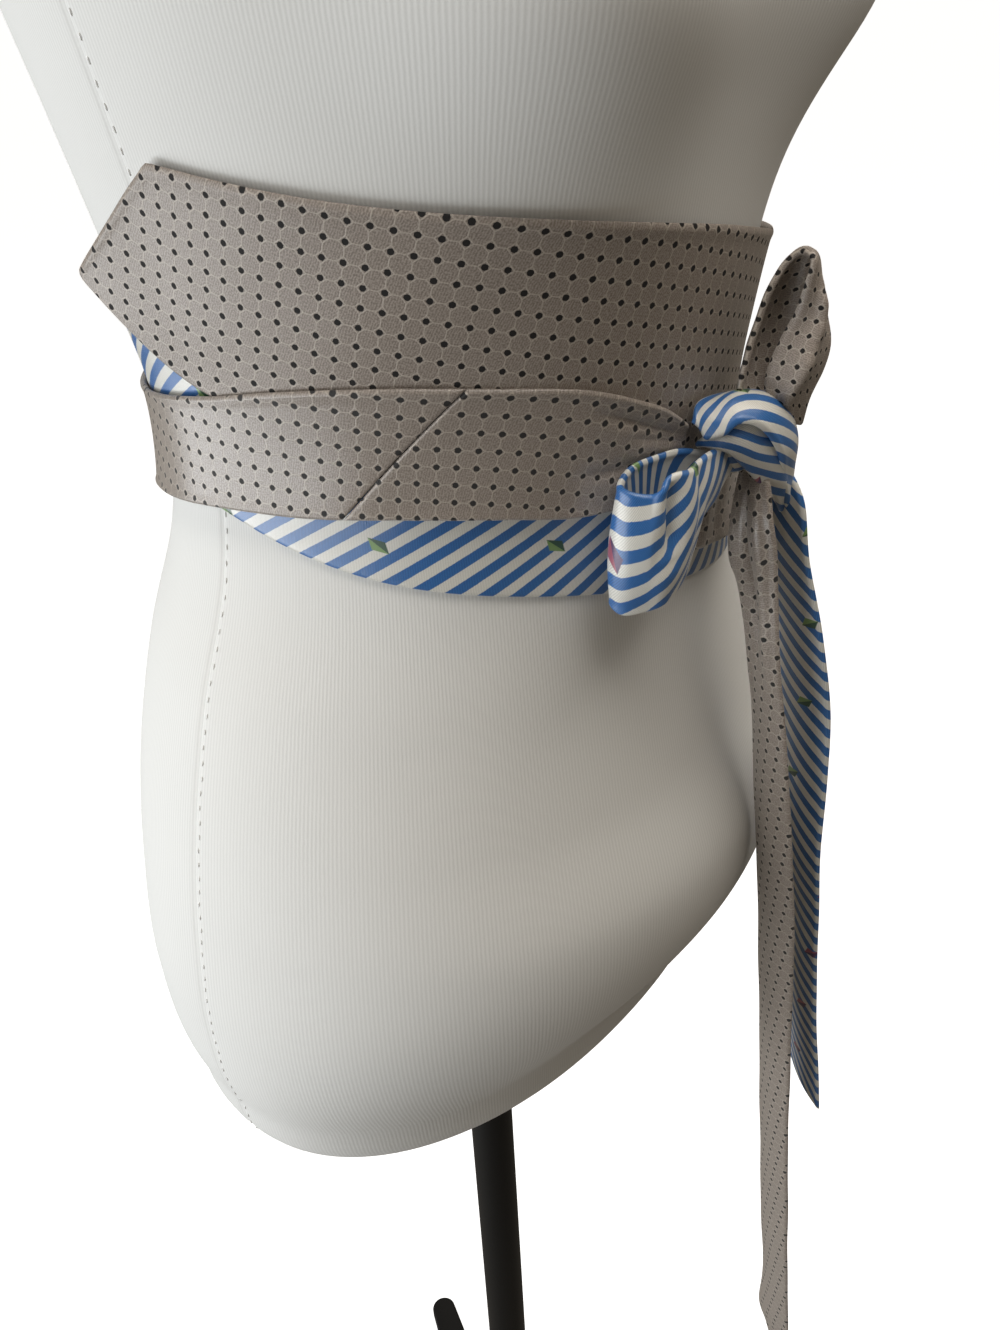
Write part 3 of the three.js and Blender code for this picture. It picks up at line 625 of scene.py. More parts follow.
def striped_satin(cloth):
    """Blue and off-white satin stripes with a sparse scatter of small two-tone diamonds."""
    finish, tree, shader = new_finish("striped_satin")
    y = split(tree, cut_vector(tree, cloth.stripe_pitch))[1]
    ragged = maths(tree, "MULTIPLY_ADD", noise(tree, cut_vector(tree, 1), 0.0007), 0.05, -0.025)
    phase = maths(tree, "FRACT", maths(tree, "ADD", y, ragged))
    from_middle = maths(tree, "ABSOLUTE", maths(tree, "SUBTRACT", phase, 0.5))
    blue = ramp(tree, from_middle, 0.5 * cloth.blue_share + 0.02, 0.5 * cloth.blue_share - 0.02)
    twill = bands(tree, turned_vector(tree, 38), 0.00055, 1.0)
    grain = noise(tree, cut_vector(tree, 1), 0.0004, 3.0)
    shade = maths(tree, "MULTIPLY_ADD", twill, 0.5, maths(tree, "MULTIPLY", grain, 0.5))
    fine = ramp(tree, shade, 0.15, 0.85)
    blues = blend(tree, fine, cloth.blue_dark, cloth.blue_light)
    whites = blend(tree, fine, cloth.white_dark, cloth.white_light)
    colour = motifs(tree, cloth, blend(tree, blue, whites, blues))
    tree.links.new(colour, shader.inputs["Base Color"])
    bump(tree, shade, 0.00012, shader, 0.6)
    stretched_gloss(tree, shader)
    set_inputs(shader, {"Roughness": 0.28, "Specular IOR Level": 0.85, "Sheen Weight": 0.12,
                        "Sheen Roughness": 0.3})
    return finish


def motifs(tree, cloth, colour):
    """Small diamonds over a colour, half light and half dark, green and pink by turns."""
    x, y = split(tree, cut_vector(tree, cloth.motif_pitch))
    row = maths(tree, "FLOOR", y)
    shifted = maths(tree, "MULTIPLY_ADD", row, 0.4, x)
    place = maths(tree, "FLOOR", shifted)
    across = maths(tree, "SUBTRACT", maths(tree, "FRACT", shifted), 0.5)
    up = maths(tree, "SUBTRACT", maths(tree, "FRACT", y), 0.5)
    tilted = maths(tree, "MULTIPLY_ADD", up, 0.35, across)
    half_width = 0.5 * cloth.motif_width / cloth.motif_pitch
    half_height = 0.5 * cloth.motif_height / cloth.motif_pitch
    inside = maths(tree, "ADD", maths(tree, "DIVIDE", maths(tree, "ABSOLUTE", tilted), half_width),
                   maths(tree, "DIVIDE", maths(tree, "ABSOLUTE", up), half_height))
    shape = ramp(tree, inside, 1.06, 0.94)
    odd = maths(tree, "FLOORED_MODULO", maths(tree, "ADD", place, row), 2.0)
    right = maths(tree, "GREATER_THAN", tilted, 0.0)
    light = blend(tree, odd, cloth.motif_green, cloth.motif_pink)
    dark = blend(tree, odd, cloth.motif_deep_green, cloth.motif_purple)
    return blend(tree, shape, colour, blend(tree, right, light, dark))


def ribbed_jersey(form):
    """Off-white ribbed jersey of the form's cover."""
    finish, tree, shader = new_finish("ribbed_jersey")
    ribs = bands(tree, cut_vector(tree, 1), form.rib_pitch, 0.6)
    fuzz = noise(tree, cut_vector(tree, 1), 0.0006, 3.0)
    slow = noise(tree, cut_vector(tree, 1), 0.05, 2.0)
    tone = maths(tree, "MULTIPLY_ADD", ribs, 0.5, maths(tree, "MULTIPLY", fuzz, 0.3))
    tone = maths(tree, "MULTIPLY_ADD", slow, 0.2, tone)
    tree.links.new(blend(tree, tone, form.jersey_shade, form.jersey),
                   shader.inputs["Base Color"])
    bump(tree, tone, 0.00012, shader, 0.5)
    set_inputs(shader, {"Roughness": 0.85, "Sheen Weight": 0.15})
    return finish


def sewing_thread():
    """Matt white thread of the cover's stitches."""
    finish, tree, shader = new_finish("sewing_thread")
    place = node(tree, "ShaderNodeTexCoord").outputs["Object"]
    tree.links.new(blend(tree, noise(tree, place, 0.0008), (0.72, 0.72, 0.7), (0.9, 0.9, 0.88)),
                   shader.inputs["Base Color"])
    set_inputs(shader, {"Roughness": 0.7})
    return finish


def powder_coat(stand):
    """Black powder coat with a fine orange-peel texture."""
    finish, tree, shader = new_finish("black_powder_coat")
    place = node(tree, "ShaderNodeTexCoord").outputs["Object"]
    speckle = noise(tree, place, 0.0009, 3.0)
    tree.links.new(blend(tree, speckle, stand.coat, [1.9 * part for part in stand.coat]),
                   shader.inputs["Base Color"])
    bump(tree, speckle, 0.0001, shader, 0.5)
    set_inputs(shader, {"Roughness": 0.42, "Specular IOR Level": 0.25})
    return finish


def cap_plastic():
    """Smooth black plastic of the neck cap, with faint wear."""
    finish, tree, shader = new_finish("black_cap_plastic")
    place = node(tree, "ShaderNodeTexCoord").outputs["Object"]
    wear = noise(tree, place, 0.02, 4.0)
    tree.links.new(blend(tree, wear, (0.018, 0.018, 0.018), (0.04, 0.04, 0.04)),
                   shader.inputs["Base Color"])
    tree.links.new(maths(tree, "MULTIPLY_ADD", wear, 0.2, 0.35), shader.inputs["Roughness"])
    return finish


FINISHES = {}


# ------------------------------------------------------------------ settings
def size_setting(name, text, default):
    return bpy.props.FloatProperty(name=name, description=text, default=default, unit="LENGTH",
                                   precision=5)


def colour_setting(name, text, default):
    return bpy.props.FloatVectorProperty(name=name, description=text, default=default, size=3,
                                         min=0, max=1, subtype="COLOR")


def power_setting(name, text, default):
    return bpy.props.FloatProperty(name=name, description=text, default=default, unit="POWER")


def angle_setting(name, text, degrees):
    return bpy.props.FloatProperty(name=name, description=text, default=math.radians(degrees),
                                   subtype="ANGLE")


class ClothSettings(bpy.types.PropertyGroup):
    """Sizes and colours of the belt's two cloths."""
    under_wall: size_setting("Under wall", "Thickness of the under panel", 0.0013)
    panel_wall: size_setting("Panel wall", "Thickness of the outer panel", 0.0016)
    strap_wall: size_setting("Strap wall", "Thickness of a folded strap", 0.0017)
    bow_wall: size_setting("Bow wall", "Thickness of the bow's straps", 0.0018)
    knot_wall: size_setting("Knot wall", "Thickness of the knot's turns", 0.0022)
    edge_roll: size_setting("Edge roll", "How far in a folded edge rounds over", 0.0024)
    dot_pitch: size_setting("Dot pitch", "Distance from dot to dot", 0.0063)
    dot_size: size_setting("Dot size", "Diameter of a dot", 0.00205)
    diamond_reach: size_setting("Diamond reach", "From a dot's middle to its diamond's corner", 0.0019)
    line_width: size_setting("Line width", "Width of the cream lines", 0.0004)
    twill_pitch: size_setting("Twill pitch", "Distance between twill ridges", 0.0008)
    stripe_pitch: size_setting("Stripe pitch", "One blue and one white stripe", 0.0074)
    blue_share: bpy.props.FloatProperty(name="Blue share", description="Blue's share of the pitch",
                                        default=0.5, min=0, max=1, subtype="FACTOR")
    motif_pitch: size_setting("Motif pitch", "Distance between the small motifs", 0.036)
    motif_width: size_setting("Motif width", "Width of a small motif", 0.0056)
    motif_height: size_setting("Motif height", "Height of a small motif", 0.0088)
    taupe_light: colour_setting("Taupe, lit threads", "Dotted cloth's ground", (0.38, 0.33, 0.29))
    taupe_dark: colour_setting("Taupe, deep threads", "Dotted cloth's ground", (0.21, 0.177, 0.153))
    cream: colour_setting("Cream", "Lines of the dotted cloth", (0.6, 0.54, 0.47))
    dot_black: colour_setting("Dot black", "Dots", (0.012, 0.011, 0.011))
    blue_light: colour_setting("Blue, lit threads", "Blue stripe", (0.045, 0.19, 0.5))
    blue_dark: colour_setting("Blue, deep threads", "Blue stripe", (0.02, 0.1, 0.31))
    white_light: colour_setting("White, lit threads", "White stripe", (0.84, 0.83, 0.78))
    white_dark: colour_setting("White, deep threads", "White stripe", (0.62, 0.61, 0.56))
    motif_green: colour_setting("Motif green", "Light half of a motif", (0.2, 0.34, 0.12))
    motif_deep_green: colour_setting("Motif deep green", "Dark half of a motif", (0.03, 0.09, 0.05))
    motif_pink: colour_setting("Motif pink", "Light half of a motif", (0.36, 0.1, 0.15))
    motif_purple: colour_setting("Motif purple", "Dark half of a motif", (0.09, 0.04, 0.12))


class FormSettings(bpy.types.PropertyGroup):
    """Sizes and colours of the dress form."""
    turn_step: bpy.props.FloatProperty(name="Turn step", default=2.0, min=1, max=10,
                                       description="Degrees between the cover's columns")
    level_step: size_setting("Level step", "Height between the cover's rows", 0.004)
    rib_pitch: size_setting("Rib pitch", "Distance between the jersey's ribs", 0.0013)
    seam_depth: size_setting("Seam depth", "Depth of a side seam", 0.0006)
    stitch_pitch: size_setting("Stitch pitch", "Distance between stitches", 0.0062)
    jersey: colour_setting("Jersey", "Cover", (0.86, 0.86, 0.84))
    jersey_shade: colour_setting("Jersey, deep threads", "Cover", (0.7, 0.7, 0.68))


class StandSettings(bpy.types.PropertyGroup):
    """Sizes and colour of the stand."""
    leg_root: size_setting("Leg root", "From the pole's middle to a leg's root", 0.0343)
    leg_reach: size_setting("Leg reach", "From the pole's middle to a leg's tip", 0.252)
    leg_half: size_setting("Leg half width", "Half a leg's width at its root", 0.02)
    tip_half: size_setting("Tip half width", "Half a leg's width at its tip", 0.0115)
    tip_height: size_setting("Tip height", "Height of a leg's tip", 0.012)
    coat: colour_setting("Coat", "Powder coat", (0.006, 0.006, 0.006))


class StudioSettings(bpy.types.PropertyGroup):
    """Camera, lights and floor."""
    lens: bpy.props.FloatProperty(name="Lens", description="Focal length on a 36 mm sensor",
                                  default=32.48, subtype="DISTANCE_CAMERA")
    eye: bpy.props.FloatVectorProperty(name="Eye", description="The camera's place", size=3,
                                       default=(-0.3478, -0.3401, 1.251), subtype="TRANSLATION")
    heading: angle_setting("Heading", "Direction from +Y towards +X", 48)
    pitch: angle_setting("Pitch", "How far the camera looks down", 32)
    roll: angle_setting("Roll", "How far the camera leans to its right", 3)
    window: power_setting("Window", "Power of the large side light", 37)
    sill: power_setting("Sill", "Power of the low light under the window", 28)
    ceiling: power_setting("Ceiling", "Power of the soft light above", 17.5)
    fill: power_setting("Fill", "Power of the weak light behind", 4)
    air: bpy.props.FloatProperty(name="Air", description="Strength of the room's light", default=0.14)
    glow: bpy.props.FloatProperty(name="Glow", description="Light that the floor itself gives",
                                  default=1.0)
    floor: colour_setting("Floor", "Floor", (0.9, 0.9, 0.9))


class ObiBeltSettings(bpy.types.PropertyGroup):
    """All settings."""
    cloth: bpy.props.PointerProperty(type=ClothSettings)
    form: bpy.props.PointerProperty(type=FormSettings)
    stand: bpy.props.PointerProperty(type=StandSettings)
    studio: bpy.props.PointerProperty(type=StudioSettings)


def settings():
    """The settings that the scene holds."""
    return bpy.context.scene.obi_belt


# ------------------------------------------------------------------ operators
class OBIBELT_OT_finishes(bpy.types.Operator):
    """Makes the finishes that all the pieces share"""
    bl_idname = "obibelt.finishes"
    bl_label = "Finishes"

    def execute(self, context):
        chosen = settings()
        FINISHES["dotted"] = dotted_jacquard(
            chosen.cloth, "dotted_jacquard", roughness=0.42, gloss=0.5, sheen=0.03)
        FINISHES["dotted_strap"] = dotted_jacquard(
            chosen.cloth, "dotted_jacquard_strap", roughness=0.34, gloss=0.75, sheen=0.25)
        FINISHES["striped"] = striped_satin(chosen.cloth)
        FINISHES["jersey"] = ribbed_jersey(chosen.form)
        FINISHES["thread"] = sewing_thread()
        FINISHES["coat"] = powder_coat(chosen.stand)
        FINISHES["cap"] = cap_plastic()
        return {"FINISHED"}


class OBIBELT_OT_stage(bpy.types.Operator):
    """Makes the floor, the lights and the camera"""
    bl_idname = "obibelt.stage"
    bl_label = "Stage"

    def execute(self, context):
        studio = settings().studio
        start_piece()
        bpy.ops.mesh.primitive_plane_add(size=60)
        floor = context.object
        floor.name = "floor"
        finish, _, shader = new_finish("pale_floor")
        pale = (*studio.floor, 1)
        set_inputs(shader, {"Base Color": pale, "Roughness": 0.9, "Emission Color": pale,
                            "Emission Strength": studio.glow})
        floor.data.materials.append(finish)
        floor.visible_diffuse = False
        floor.visible_glossy = False
        self.light("window", (-2.4, 1.3, 1.5), (2.4, 2.2), studio.window, (0.95, 0.98, 1.0))
        self.light("sill", (-1.62, 0.95, 0.4), (2.8, 0.7), studio.sill, (0.93, 0.97, 1.0))
        self.light("ceiling", (0.05, -0.2, 2.1), (1.1, 1.1), studio.ceiling, (1.0, 0.95, 0.88))
        self.light("fill", (1.7, 1.5, 1.9), (1.8, 1.8), studio.fill, (1.0, 0.93, 0.85))
        world = bpy.data.worlds.new("room")
        world.use_nodes = True
        set_inputs(world.node_tree.nodes["Background"],
                   {"Color": (1.0, 0.87, 0.7, 1), "Strength": studio.air})
        context.scene.world = world
        context.scene.view_settings.view_transform = "Standard"
        self.camera(context.scene, studio)
        return {"FINISHED"}

    def light(self, name, place, size, power, colour):
        """A soft rectangular light aimed at the form's waist."""
        bpy.ops.object.light_add(type="AREA", location=place)
        lamp = bpy.context.object
        lamp.name = name
        lamp.data.shape = "RECTANGLE"
        lamp.data.size, lamp.data.size_y = size
        lamp.data.energy = power
        lamp.data.color = colour
        aim = Vector((0, 0, 1.05)) - Vector(place)
        lamp.visible_camera = False
        lamp.rotation_euler = aim.to_track_quat("-Z", "Y").to_euler()

    def camera(self, scene, studio):
        """The camera, turned by its heading, then its pitch, then its roll."""
        level = Vector((math.sin(studio.heading), math.cos(studio.heading), 0))
        side = Vector((math.cos(studio.heading), -math.sin(studio.heading), 0))
        up = Vector((0, 0, 1))
        look = math.cos(studio.pitch) * level - math.sin(studio.pitch) * up
        above = math.sin(studio.pitch) * level + math.cos(studio.pitch) * up
        right = math.cos(studio.roll) * side - math.sin(studio.roll) * above
        crown = math.sin(studio.roll) * side + math.cos(studio.roll) * above
        bpy.ops.object.camera_add()
        camera = bpy.context.object
        camera.name = "camera"
        camera.data.lens = studio.lens
        camera.data.sensor_width = 36
        camera.data.clip_start = 0.02
        turned = Matrix((right, crown, -look)).transposed()
        camera.matrix_world = Matrix.Translation(studio.eye) @ turned.to_4x4()
        scene.camera = camera


class OBIBELT_OT_form(bpy.types.Operator):
    """Makes the dress form's jersey cover with its side seams, and the neck cap"""
    bl_idname = "obibelt.form"
    bl_label = "Dress form"

    def execute(self, context):
        form = settings().form
        self.cover(form)
        self.stitches(form)
        self.cap()
        return {"FINISHED"}

    def cover(self, form):
        turns = np.arange(-180, 180 + form.turn_step / 2, form.turn_step)
        beside_seams = [side + np.arange(-3, 3.1, 0.5) for side in SIDE_SEAMS]
        turns = np.unique(np.concatenate([turns] + beside_seams))
        heights = np.arange(FORM_BOTTOM, FORM_TOP + 0.1, form.level_step / MM)
        heights[-1] = FORM_TOP
        turn, height = np.broadcast_arrays(turns[None, :], heights[:, None])
        groove = sum(np.exp(-(((turn - side) / SEAM_SPREAD) ** 2)) for side in SIDE_SEAMS)
        points = on_form(turn, height, -form.seam_depth / MM * groove)
        foot = self.underside(points[0])
        points = np.concatenate((foot, points))
        levels = np.concatenate((np.full(len(foot), FORM_BOTTOM), heights))
        cut = np.stack(np.broadcast_arrays(np.radians(turns) * MEAN_RADIUS, levels[:, None]), -1)
        piece = cloth_grid(points, cut, np.zeros(len(turns), int))
        edit(("remove_doubles", {"threshold": MERGE}), ("fill_holes", {"sides": 0}),
             ("normals_make_consistent", {"inside": False}))
        bpy.ops.object.shade_smooth_by_angle(angle=math.radians(50))
        finish_piece(piece, "form_cover", [FINISHES["jersey"]], "jersey", "form_torso")

    def underside(self, rim):
        """Rows from the middle of the flat underside out to the rim, round at its edge."""
        middle = rim.mean(axis=0)
        rows = []
        for inset, drop in ((80, FOOT_DROP), (40, FOOT_DROP), (FOOT_INSET, FOOT_DROP), (8, 1.75),
                            (4.5, 1.2), (1.8, 0.5)):
            inwards = unit((middle - rim) * (1, 1, 0))
            reach = np.linalg.norm((middle - rim)[:, :2], axis=1)
            row = rim + inwards * np.minimum(inset, 0.97 * reach)[:, None]
            row[:, 2] -= drop
            rows.append(row)
        return np.array(rows)

    def stitches(self, form):
        """Small white stitches down each side seam, as one mesh."""
        start_piece()
        bpy.ops.mesh.primitive_uv_sphere_add(segments=8, ring_count=5, radius=1)
        one = bpy.context.object
        ball = np.array([v.co for v in one.data.vertices]) * STITCH_HALVES
        faces = [tuple(p.vertices) for p in one.data.polygons]
        heights = np.arange(FORM_BOTTOM + 14, FORM_TOP - 10, form.stitch_pitch / MM)
        points, polygons = [], []
        for side in SIDE_SEAMS:
            for index, height in enumerate(heights):
                turn = side + 1.0 + 0.12 * math.sin(1.7 * index)
                low, high = (on_form(turn, height + step, 0.1) for step in (-1, 1))
                up = unit(high - low)
                out = unit(low * (1, 1, 0))
                across = np.cross(out, up)
                start = len(points) * len(ball)
                polygons += [tuple(start + corner for corner in face) for face in faces]
                points.append(0.5 * (low + high) + ball @ np.array((across, out, up)))
        mesh = bpy.data.meshes.new("form_stitches")
        mesh.from_pydata(np.concatenate(points) * MM, [], polygons)
        old, one.data = one.data, mesh
        bpy.data.meshes.remove(old)
        edit(("normals_make_consistent", {"inside": False}))
        bpy.ops.object.shade_smooth()
        finish_piece(one, "form_stitches", [FINISHES["thread"]], "jersey")

    def cap(self):
        """The disc that closes the neck, in the neck's own outline."""
        low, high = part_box("neck_cap")
        start_piece()
        bpy.ops.mesh.primitive_cylinder_add(vertices=96, radius=1, depth=1, location=(0, 0, 0))
        piece = bpy.context.object
        turns = np.degrees([math.atan2(v.co.x, -v.co.y) for v in piece.data.vertices])
        for vertex, turn in zip(piece.data.vertices, turns):
            place = on_form(turn, FORM_TOP, 0) * MM
            vertex.co = (place[0], place[1], low[2] if vertex.co.z < 0 else high[2])
        bevel(piece, 0.004, 5)
        finish_piece(piece, "neck_cap_disc", [FINISHES["cap"]], "cap_plastic", "neck_cap")


def bevel(piece, width, segments):
    """Rounds a piece's sharp edges and shades it smooth."""
    modifier = piece.modifiers.new("edges", "BEVEL")
    modifier.width = width
    modifier.segments = segments
    modifier.limit_method = "ANGLE"
    modifier.angle_limit = math.radians(40)
    bpy.context.view_layer.objects.active = piece
    bpy.ops.object.modifier_apply(modifier=modifier.name)
    bpy.ops.object.shade_smooth_by_angle(angle=math.radians(35))


class OBIBELT_OT_stand(bpy.types.Operator):
    """Makes the stand's pole, collar, hub and legs"""
    bl_idname = "obibelt.stand"
    bl_label = "Stand"

    def execute(self, context):
        stand = settings().stand
        for node_name, width in (("stand_pole", 0.0008), ("stand_collar", 0.003), ("stand_hub", 0.002)):
            self.round_part(node_name, width)
        for index, turn in enumerate(LEG_TURNS, start=1):
            self.leg(f"stand_leg_{index}", turn, stand)
        return {"FINISHED"}

    def round_part(self, node_name, width):
        """A turned part with its CAD solid's box, stepped in at the end that the solid narrows."""
        low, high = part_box(node_name)
        radius = 0.5 * (high[0] - low[0])
        depth = high[2] - low[2]
        start_piece()
        bpy.ops.mesh.primitive_cylinder_add(vertices=96, radius=radius, depth=depth,
                                            location=(0, 0, 0.5 * (low[2] + high[2])))
        bpy.ops.object.transform_apply(location=True, rotation=False, scale=False)
        piece = bpy.context.object
        if node_name == "stand_collar":
            self.taper(piece, low[2], 0.66, 0.008)
        if node_name == "stand_hub":
            self.taper(piece, high[2], 0.65, -0.014)
        bevel(piece, width, 4)
        finish_piece(piece, f"{node_name}_coated", [FINISHES["coat"]], "black_metal", node_name)

    def taper(self, piece, end, share, rise):
        """Narrows one end of a turned part, with a shoulder at the given rise."""
        edit(("bisect", {"plane_co": (0, 0, end + rise), "plane_no": (0, 0, 1)}))
        for vertex in piece.data.vertices:
            if abs(vertex.co.z - end) < 1e-5:
                vertex.co.x *= share
                vertex.co.y *= share

    def leg(self, node_name, turn, stand):
        """A flat blade with a round tip, thinning outwards, drawn as its outline and extruded."""
        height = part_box(node_name)[1][2]
        root, reach, tip_half = stand.leg_root, stand.leg_reach, stand.tip_half
        start_piece()
        bpy.ops.mesh.primitive_circle_add(vertices=48, radius=tip_half, fill_type="NGON",
                                          location=(reach - tip_half, 0, 0))
        bpy.ops.object.transform_apply(location=True, rotation=False, scale=False)
        piece = bpy.context.object
        for vertex in piece.data.vertices:
            if vertex.co.x < reach - tip_half + 1e-6:
                share = (reach - tip_half - vertex.co.x) / tip_half
                vertex.co.x = reach - tip_half - share * (reach - tip_half - root)
                width = tip_half + (stand.leg_half - tip_half) * share
                vertex.co.y = math.copysign(width, vertex.co.y) if abs(vertex.co.y) > 1e-6 else 0
        edit(("extrude_region_move", {"TRANSFORM_OT_translate": {"value": (0, 0, height)}}),
             ("select_all", {"action": "SELECT"}),
             ("normals_make_consistent", {"inside": False}))
        for vertex in piece.data.vertices:
            share = (vertex.co.x - root) / (reach - root)
            if vertex.co.z > 0.5 * height:
                vertex.co.z = height + (stand.tip_height - height) * share
        bevel(piece, 0.0022, 4)
        piece.data.transform(Matrix.Rotation(math.radians(turn), 4, "Z"))
        finish_piece(piece, f"{node_name}_coated", [FINISHES["coat"]], "black_metal", node_name)


class OBIBELT_OT_panels(bpy.types.Operator):
    """Makes the striped under panel and the dotted outer panel"""
    bl_idname = "obibelt.panels"
    bl_label = "Panels"

    def execute(self, context):
        cloth = settings().cloth
        roll = cloth.edge_roll / MM
        lay(wrapped_cloth(UNDER_PANEL, -130, 125, cloth.under_wall / MM, roll, grain=43, uneven=0.15),
            "under_panel", [FINISHES["striped"]] * 2, "striped_satin")
        lay(wrapped_cloth(OUTER_PANEL, -107, 108, cloth.panel_wall / MM, roll, grain=-5,
                          uneven=0.35, fat=0.5),
            "outer_panel", [FINISHES["dotted"]] * 2, "dotted_jacquard")
        return {"FINISHED"}


class OBIBELT_OT_straps(bpy.types.Operator):
    """Makes the straps that wrap round the form"""
    bl_idname = "obibelt.straps"
    bl_label = "Straps"

    def execute(self, context):
        cloth = settings().cloth
        wall, roll = cloth.strap_wall / MM, cloth.edge_roll / MM
        both = [FINISHES["dotted_strap"], FINISHES["striped"]]
        half_gap = SEAM_GAP / 2
        gathers = ((-21, 62, -3.5, 44, 2.2, -1.6), (-15, 50, -3, 41, 1.6, -1.0),
                   (-24, 40, -3, 38, 2.4, -1.4), (-16, 30, -3, 36, 2.0, -1.0))
        pulls = ((30, 8, 14, 20, 2.2, -1.5), (28, -6, 14, 4, 2.0, -1.2), (11, 24, 9, -10, 1.8, -1.3),
                 (7, 24, 5, -8, 1.7, 1.2), (3.5, 22, 2, -6, 1.6, -1.3), (0, 20, -1, -4, 1.5, 1.0))
        lay(wrapped_cloth(RIGHT_STRAP, -235 + SEAM_GAP, STRAP_SEAM_TURN - half_gap, wall,
                          RIGHT_ROLL * roll, grain=-9, last_slant=STRAP_SEAM_SLANT, uneven=0.3,
                          fat=0.5),
            "right_strap_back", both, "dotted_jacquard")
        lay(wrapped_cloth(RIGHT_STRAP, STRAP_SEAM_TURN + half_gap, -3, wall, RIGHT_ROLL * roll,
                          grain=-5, shift=(2, 3), first_slant=STRAP_SEAM_SLANT, uneven=0.3,
                          fat=0.5, creases=gathers, step=1.5),
            "right_strap_front", both, "dotted_jacquard")
        lay(wrapped_cloth(LEFT_STRAP, 230 - SEAM_GAP, -2, wall, roll, grain=6, uneven=0.3, fat=0.5,
                          creases=pulls),
            "left_strap", both, "dotted_jacquard")
        return {"FINISHED"}


class OBIBELT_OT_knot(bpy.types.Operator):
    """Makes the striped knot: its core and the two turns over it"""
    bl_idname = "obibelt.knot"
    bl_label = "Knot"

    def execute(self, context):
        cloth = settings().cloth
        wall, roll = cloth.knot_wall / MM, BOW_ROLL * (cloth.edge_roll / MM)
        self.core()
        for name, rows in (("knot_upper_turn", UPPER_TURN), ("knot_lower_turn", LOWER_TURN)):
            lay(free_cloth(rows, wall, roll, grain=0, step=0.8, uneven=0.2, fat=0.4),
                name, [FINISHES["striped"]] * 2, "striped_satin")
        return {"FINISHED"}

    def core(self):
        """The round bundle of cloth that the turns hide."""
        low, high = (np.array(corner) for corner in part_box("knot_core"))
        turns = np.radians(np.arange(0, 361, 6))[None, :]
        tilts = np.radians(np.linspace(-88, 88, 31))[:, None]
        half = 0.5 * (high - low) / MM
        middle = 0.5 * (high + low) / MM
        points = np.stack((middle[0] + half[0] * np.cos(tilts) * np.cos(turns),
                           middle[1] + half[1] * np.cos(tilts) * np.sin(turns),
                           middle[2] + half[2] * np.sin(tilts) + 0 * turns), -1)
        cut = np.stack(np.broadcast_arrays(CORE_RADIUS * turns, CORE_RADIUS * tilts), -1)
        piece = cloth_grid(points, cut, np.zeros(points.shape[1], int))
        edit(("remove_doubles", {"threshold": MERGE}), ("fill_holes", {"sides": 0}),
             ("normals_make_consistent", {"inside": False}))
        bpy.ops.object.shade_smooth()
        finish_piece(piece, "knot_core_cloth", [FINISHES["striped"]], "striped_satin", "knot_core")


class OBIBELT_OT_loops(bpy.types.Operator):
    """Makes the bow's striped loop and its dotted loop"""
    bl_idname = "obibelt.loops"
    bl_label = "Loops"

    def execute(self, context):
        cloth = settings().cloth
        wall, roll = cloth.bow_wall / MM, BOW_ROLL * (cloth.edge_roll / MM)
        dents = ((7.5, 0.97, 7.1, 0.4, 4.5, -6), (9.7, 0.9, 8.6, 0.1, 4, -1.5))
        folds = ((1, 0.12, 6.5, 0.12, 3.5, -2.5), (8, 0.75, 9.8, 0.47, 3.2, 3.2),
                 (9.8, 0.47, 12.5, 0.3, 3.6, 4.5))
        lay(free_cloth(STRIPED_LOOP, wall, roll, grain=0, step=0.9, uneven=0.25, fat=0.4,
                       creases=dents),
            "striped_loop", [FINISHES["striped"]] * 2, "striped_satin")
        lay(free_cloth(DOTTED_LOOP, wall, roll, grain=0, shift=(0, 3), step=0.9, uneven=0.25,
                       fat=0.4, creases=folds, eased=1.25),
            "dotted_loop", [FINISHES["dotted"]] * 2, "dotted_jacquard")
        return {"FINISHED"}


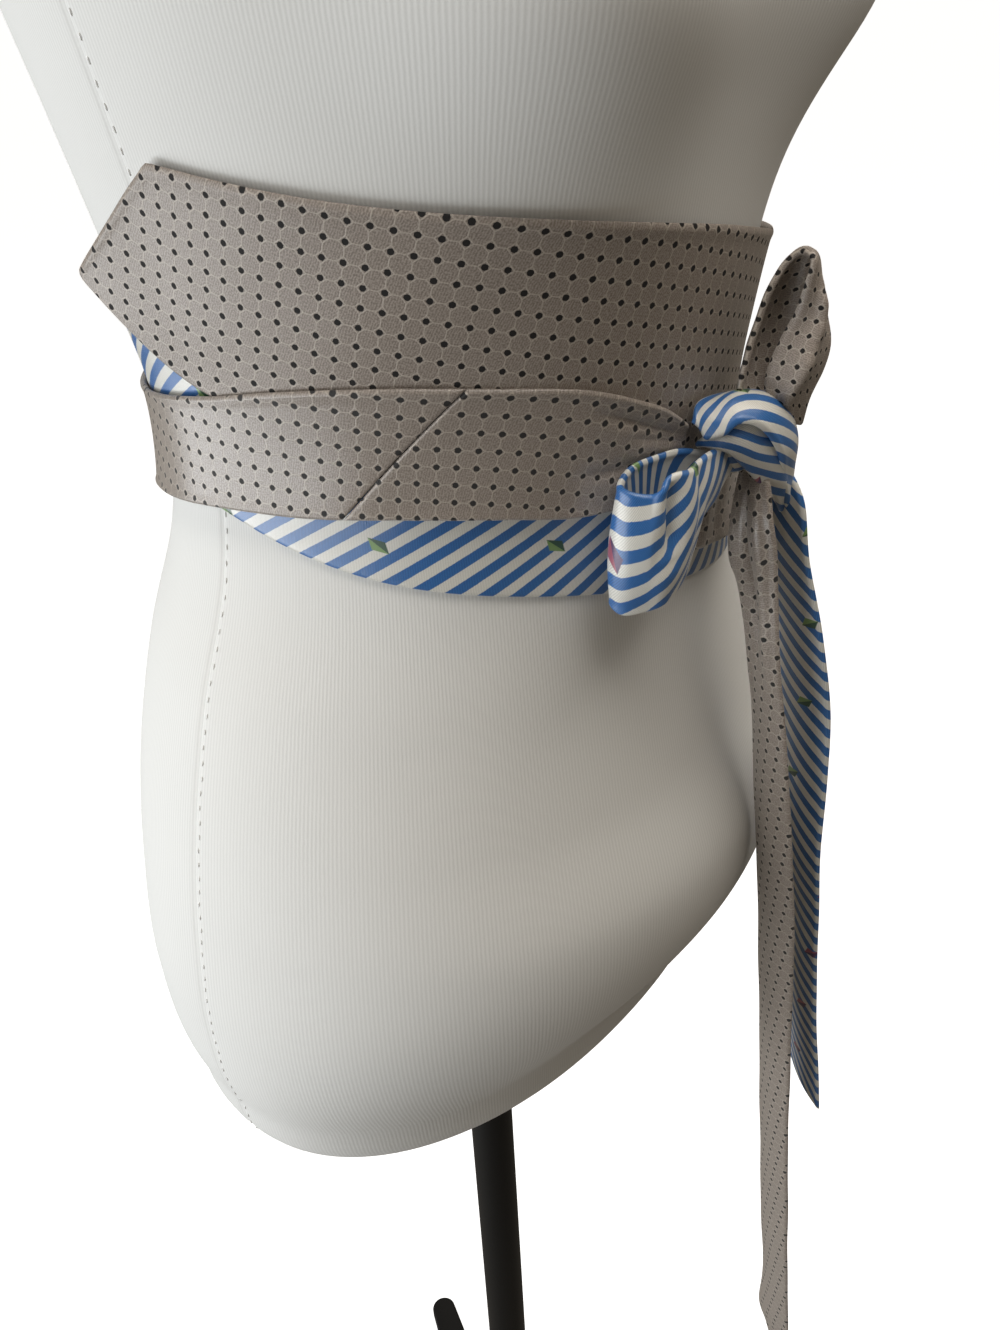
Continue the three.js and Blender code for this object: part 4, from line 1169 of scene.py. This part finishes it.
class OBIBELT_OT_tails(bpy.types.Operator):
    """Makes the two hanging tails"""
    bl_idname = "obibelt.tails"
    bl_label = "Tails"

    def execute(self, context):
        cloth = settings().cloth
        wall, roll = cloth.bow_wall / MM, BOW_ROLL * (cloth.edge_roll / MM)
        dotted, striped = FINISHES["dotted_strap"], FINISHES["striped"]
        folds = ((1.5, 0.3, 5, 0.2, 2.6, -2.2), (1.5, 0.58, 4.8, 0.5, 2.2, 2.4),
                 (2, 0.85, 5.5, 0.8, 2.2, -1.2))
        lay(free_cloth(DOTTED_TAIL, wall, roll, grain=12, step=1.4, uneven=0.4, fat=0.4, face=-1,
                       creases=folds),
            "dotted_tail", [dotted, striped], "dotted_jacquard")
        lay(free_cloth(STRIPED_TAIL, wall, roll, grain=-50, step=1.6, uneven=0.4, fat=0.4, face=-1),
            "striped_tail", [striped, dotted], "striped_satin")
        return {"FINISHED"}


class OBIBELT_PT_panel(bpy.types.Panel):
    """Lists the belt's operators and settings"""
    bl_idname = "OBIBELT_PT_panel"
    bl_label = "Obi belt"
    bl_space_type = "VIEW_3D"
    bl_region_type = "UI"
    bl_category = "Obi belt"

    def draw(self, context):
        for operator in OPERATORS:
            self.layout.operator(operator.bl_idname)
        for group in (settings().cloth, settings().form, settings().stand, settings().studio):
            box = self.layout.box()
            for name in group.__annotations__:
                box.prop(group, name)


OPERATORS = (OBIBELT_OT_finishes, OBIBELT_OT_stage, OBIBELT_OT_form, OBIBELT_OT_stand,
             OBIBELT_OT_panels, OBIBELT_OT_straps, OBIBELT_OT_knot, OBIBELT_OT_loops,
             OBIBELT_OT_tails)
CLASSES = (ClothSettings, FormSettings, StandSettings, StudioSettings, ObiBeltSettings,
           *OPERATORS, OBIBELT_PT_panel)


def register():
    for made in CLASSES:
        bpy.utils.register_class(made)
    bpy.types.Scene.obi_belt = bpy.props.PointerProperty(type=ObiBeltSettings)


def unregister():
    del bpy.types.Scene.obi_belt
    for made in reversed(CLASSES):
        bpy.utils.unregister_class(made)


def main():
    register()
    for operator in OPERATORS:
        group, name = operator.bl_idname.split(".")
        getattr(getattr(bpy.ops, group), name)()


if __name__ == "__main__":
    main()
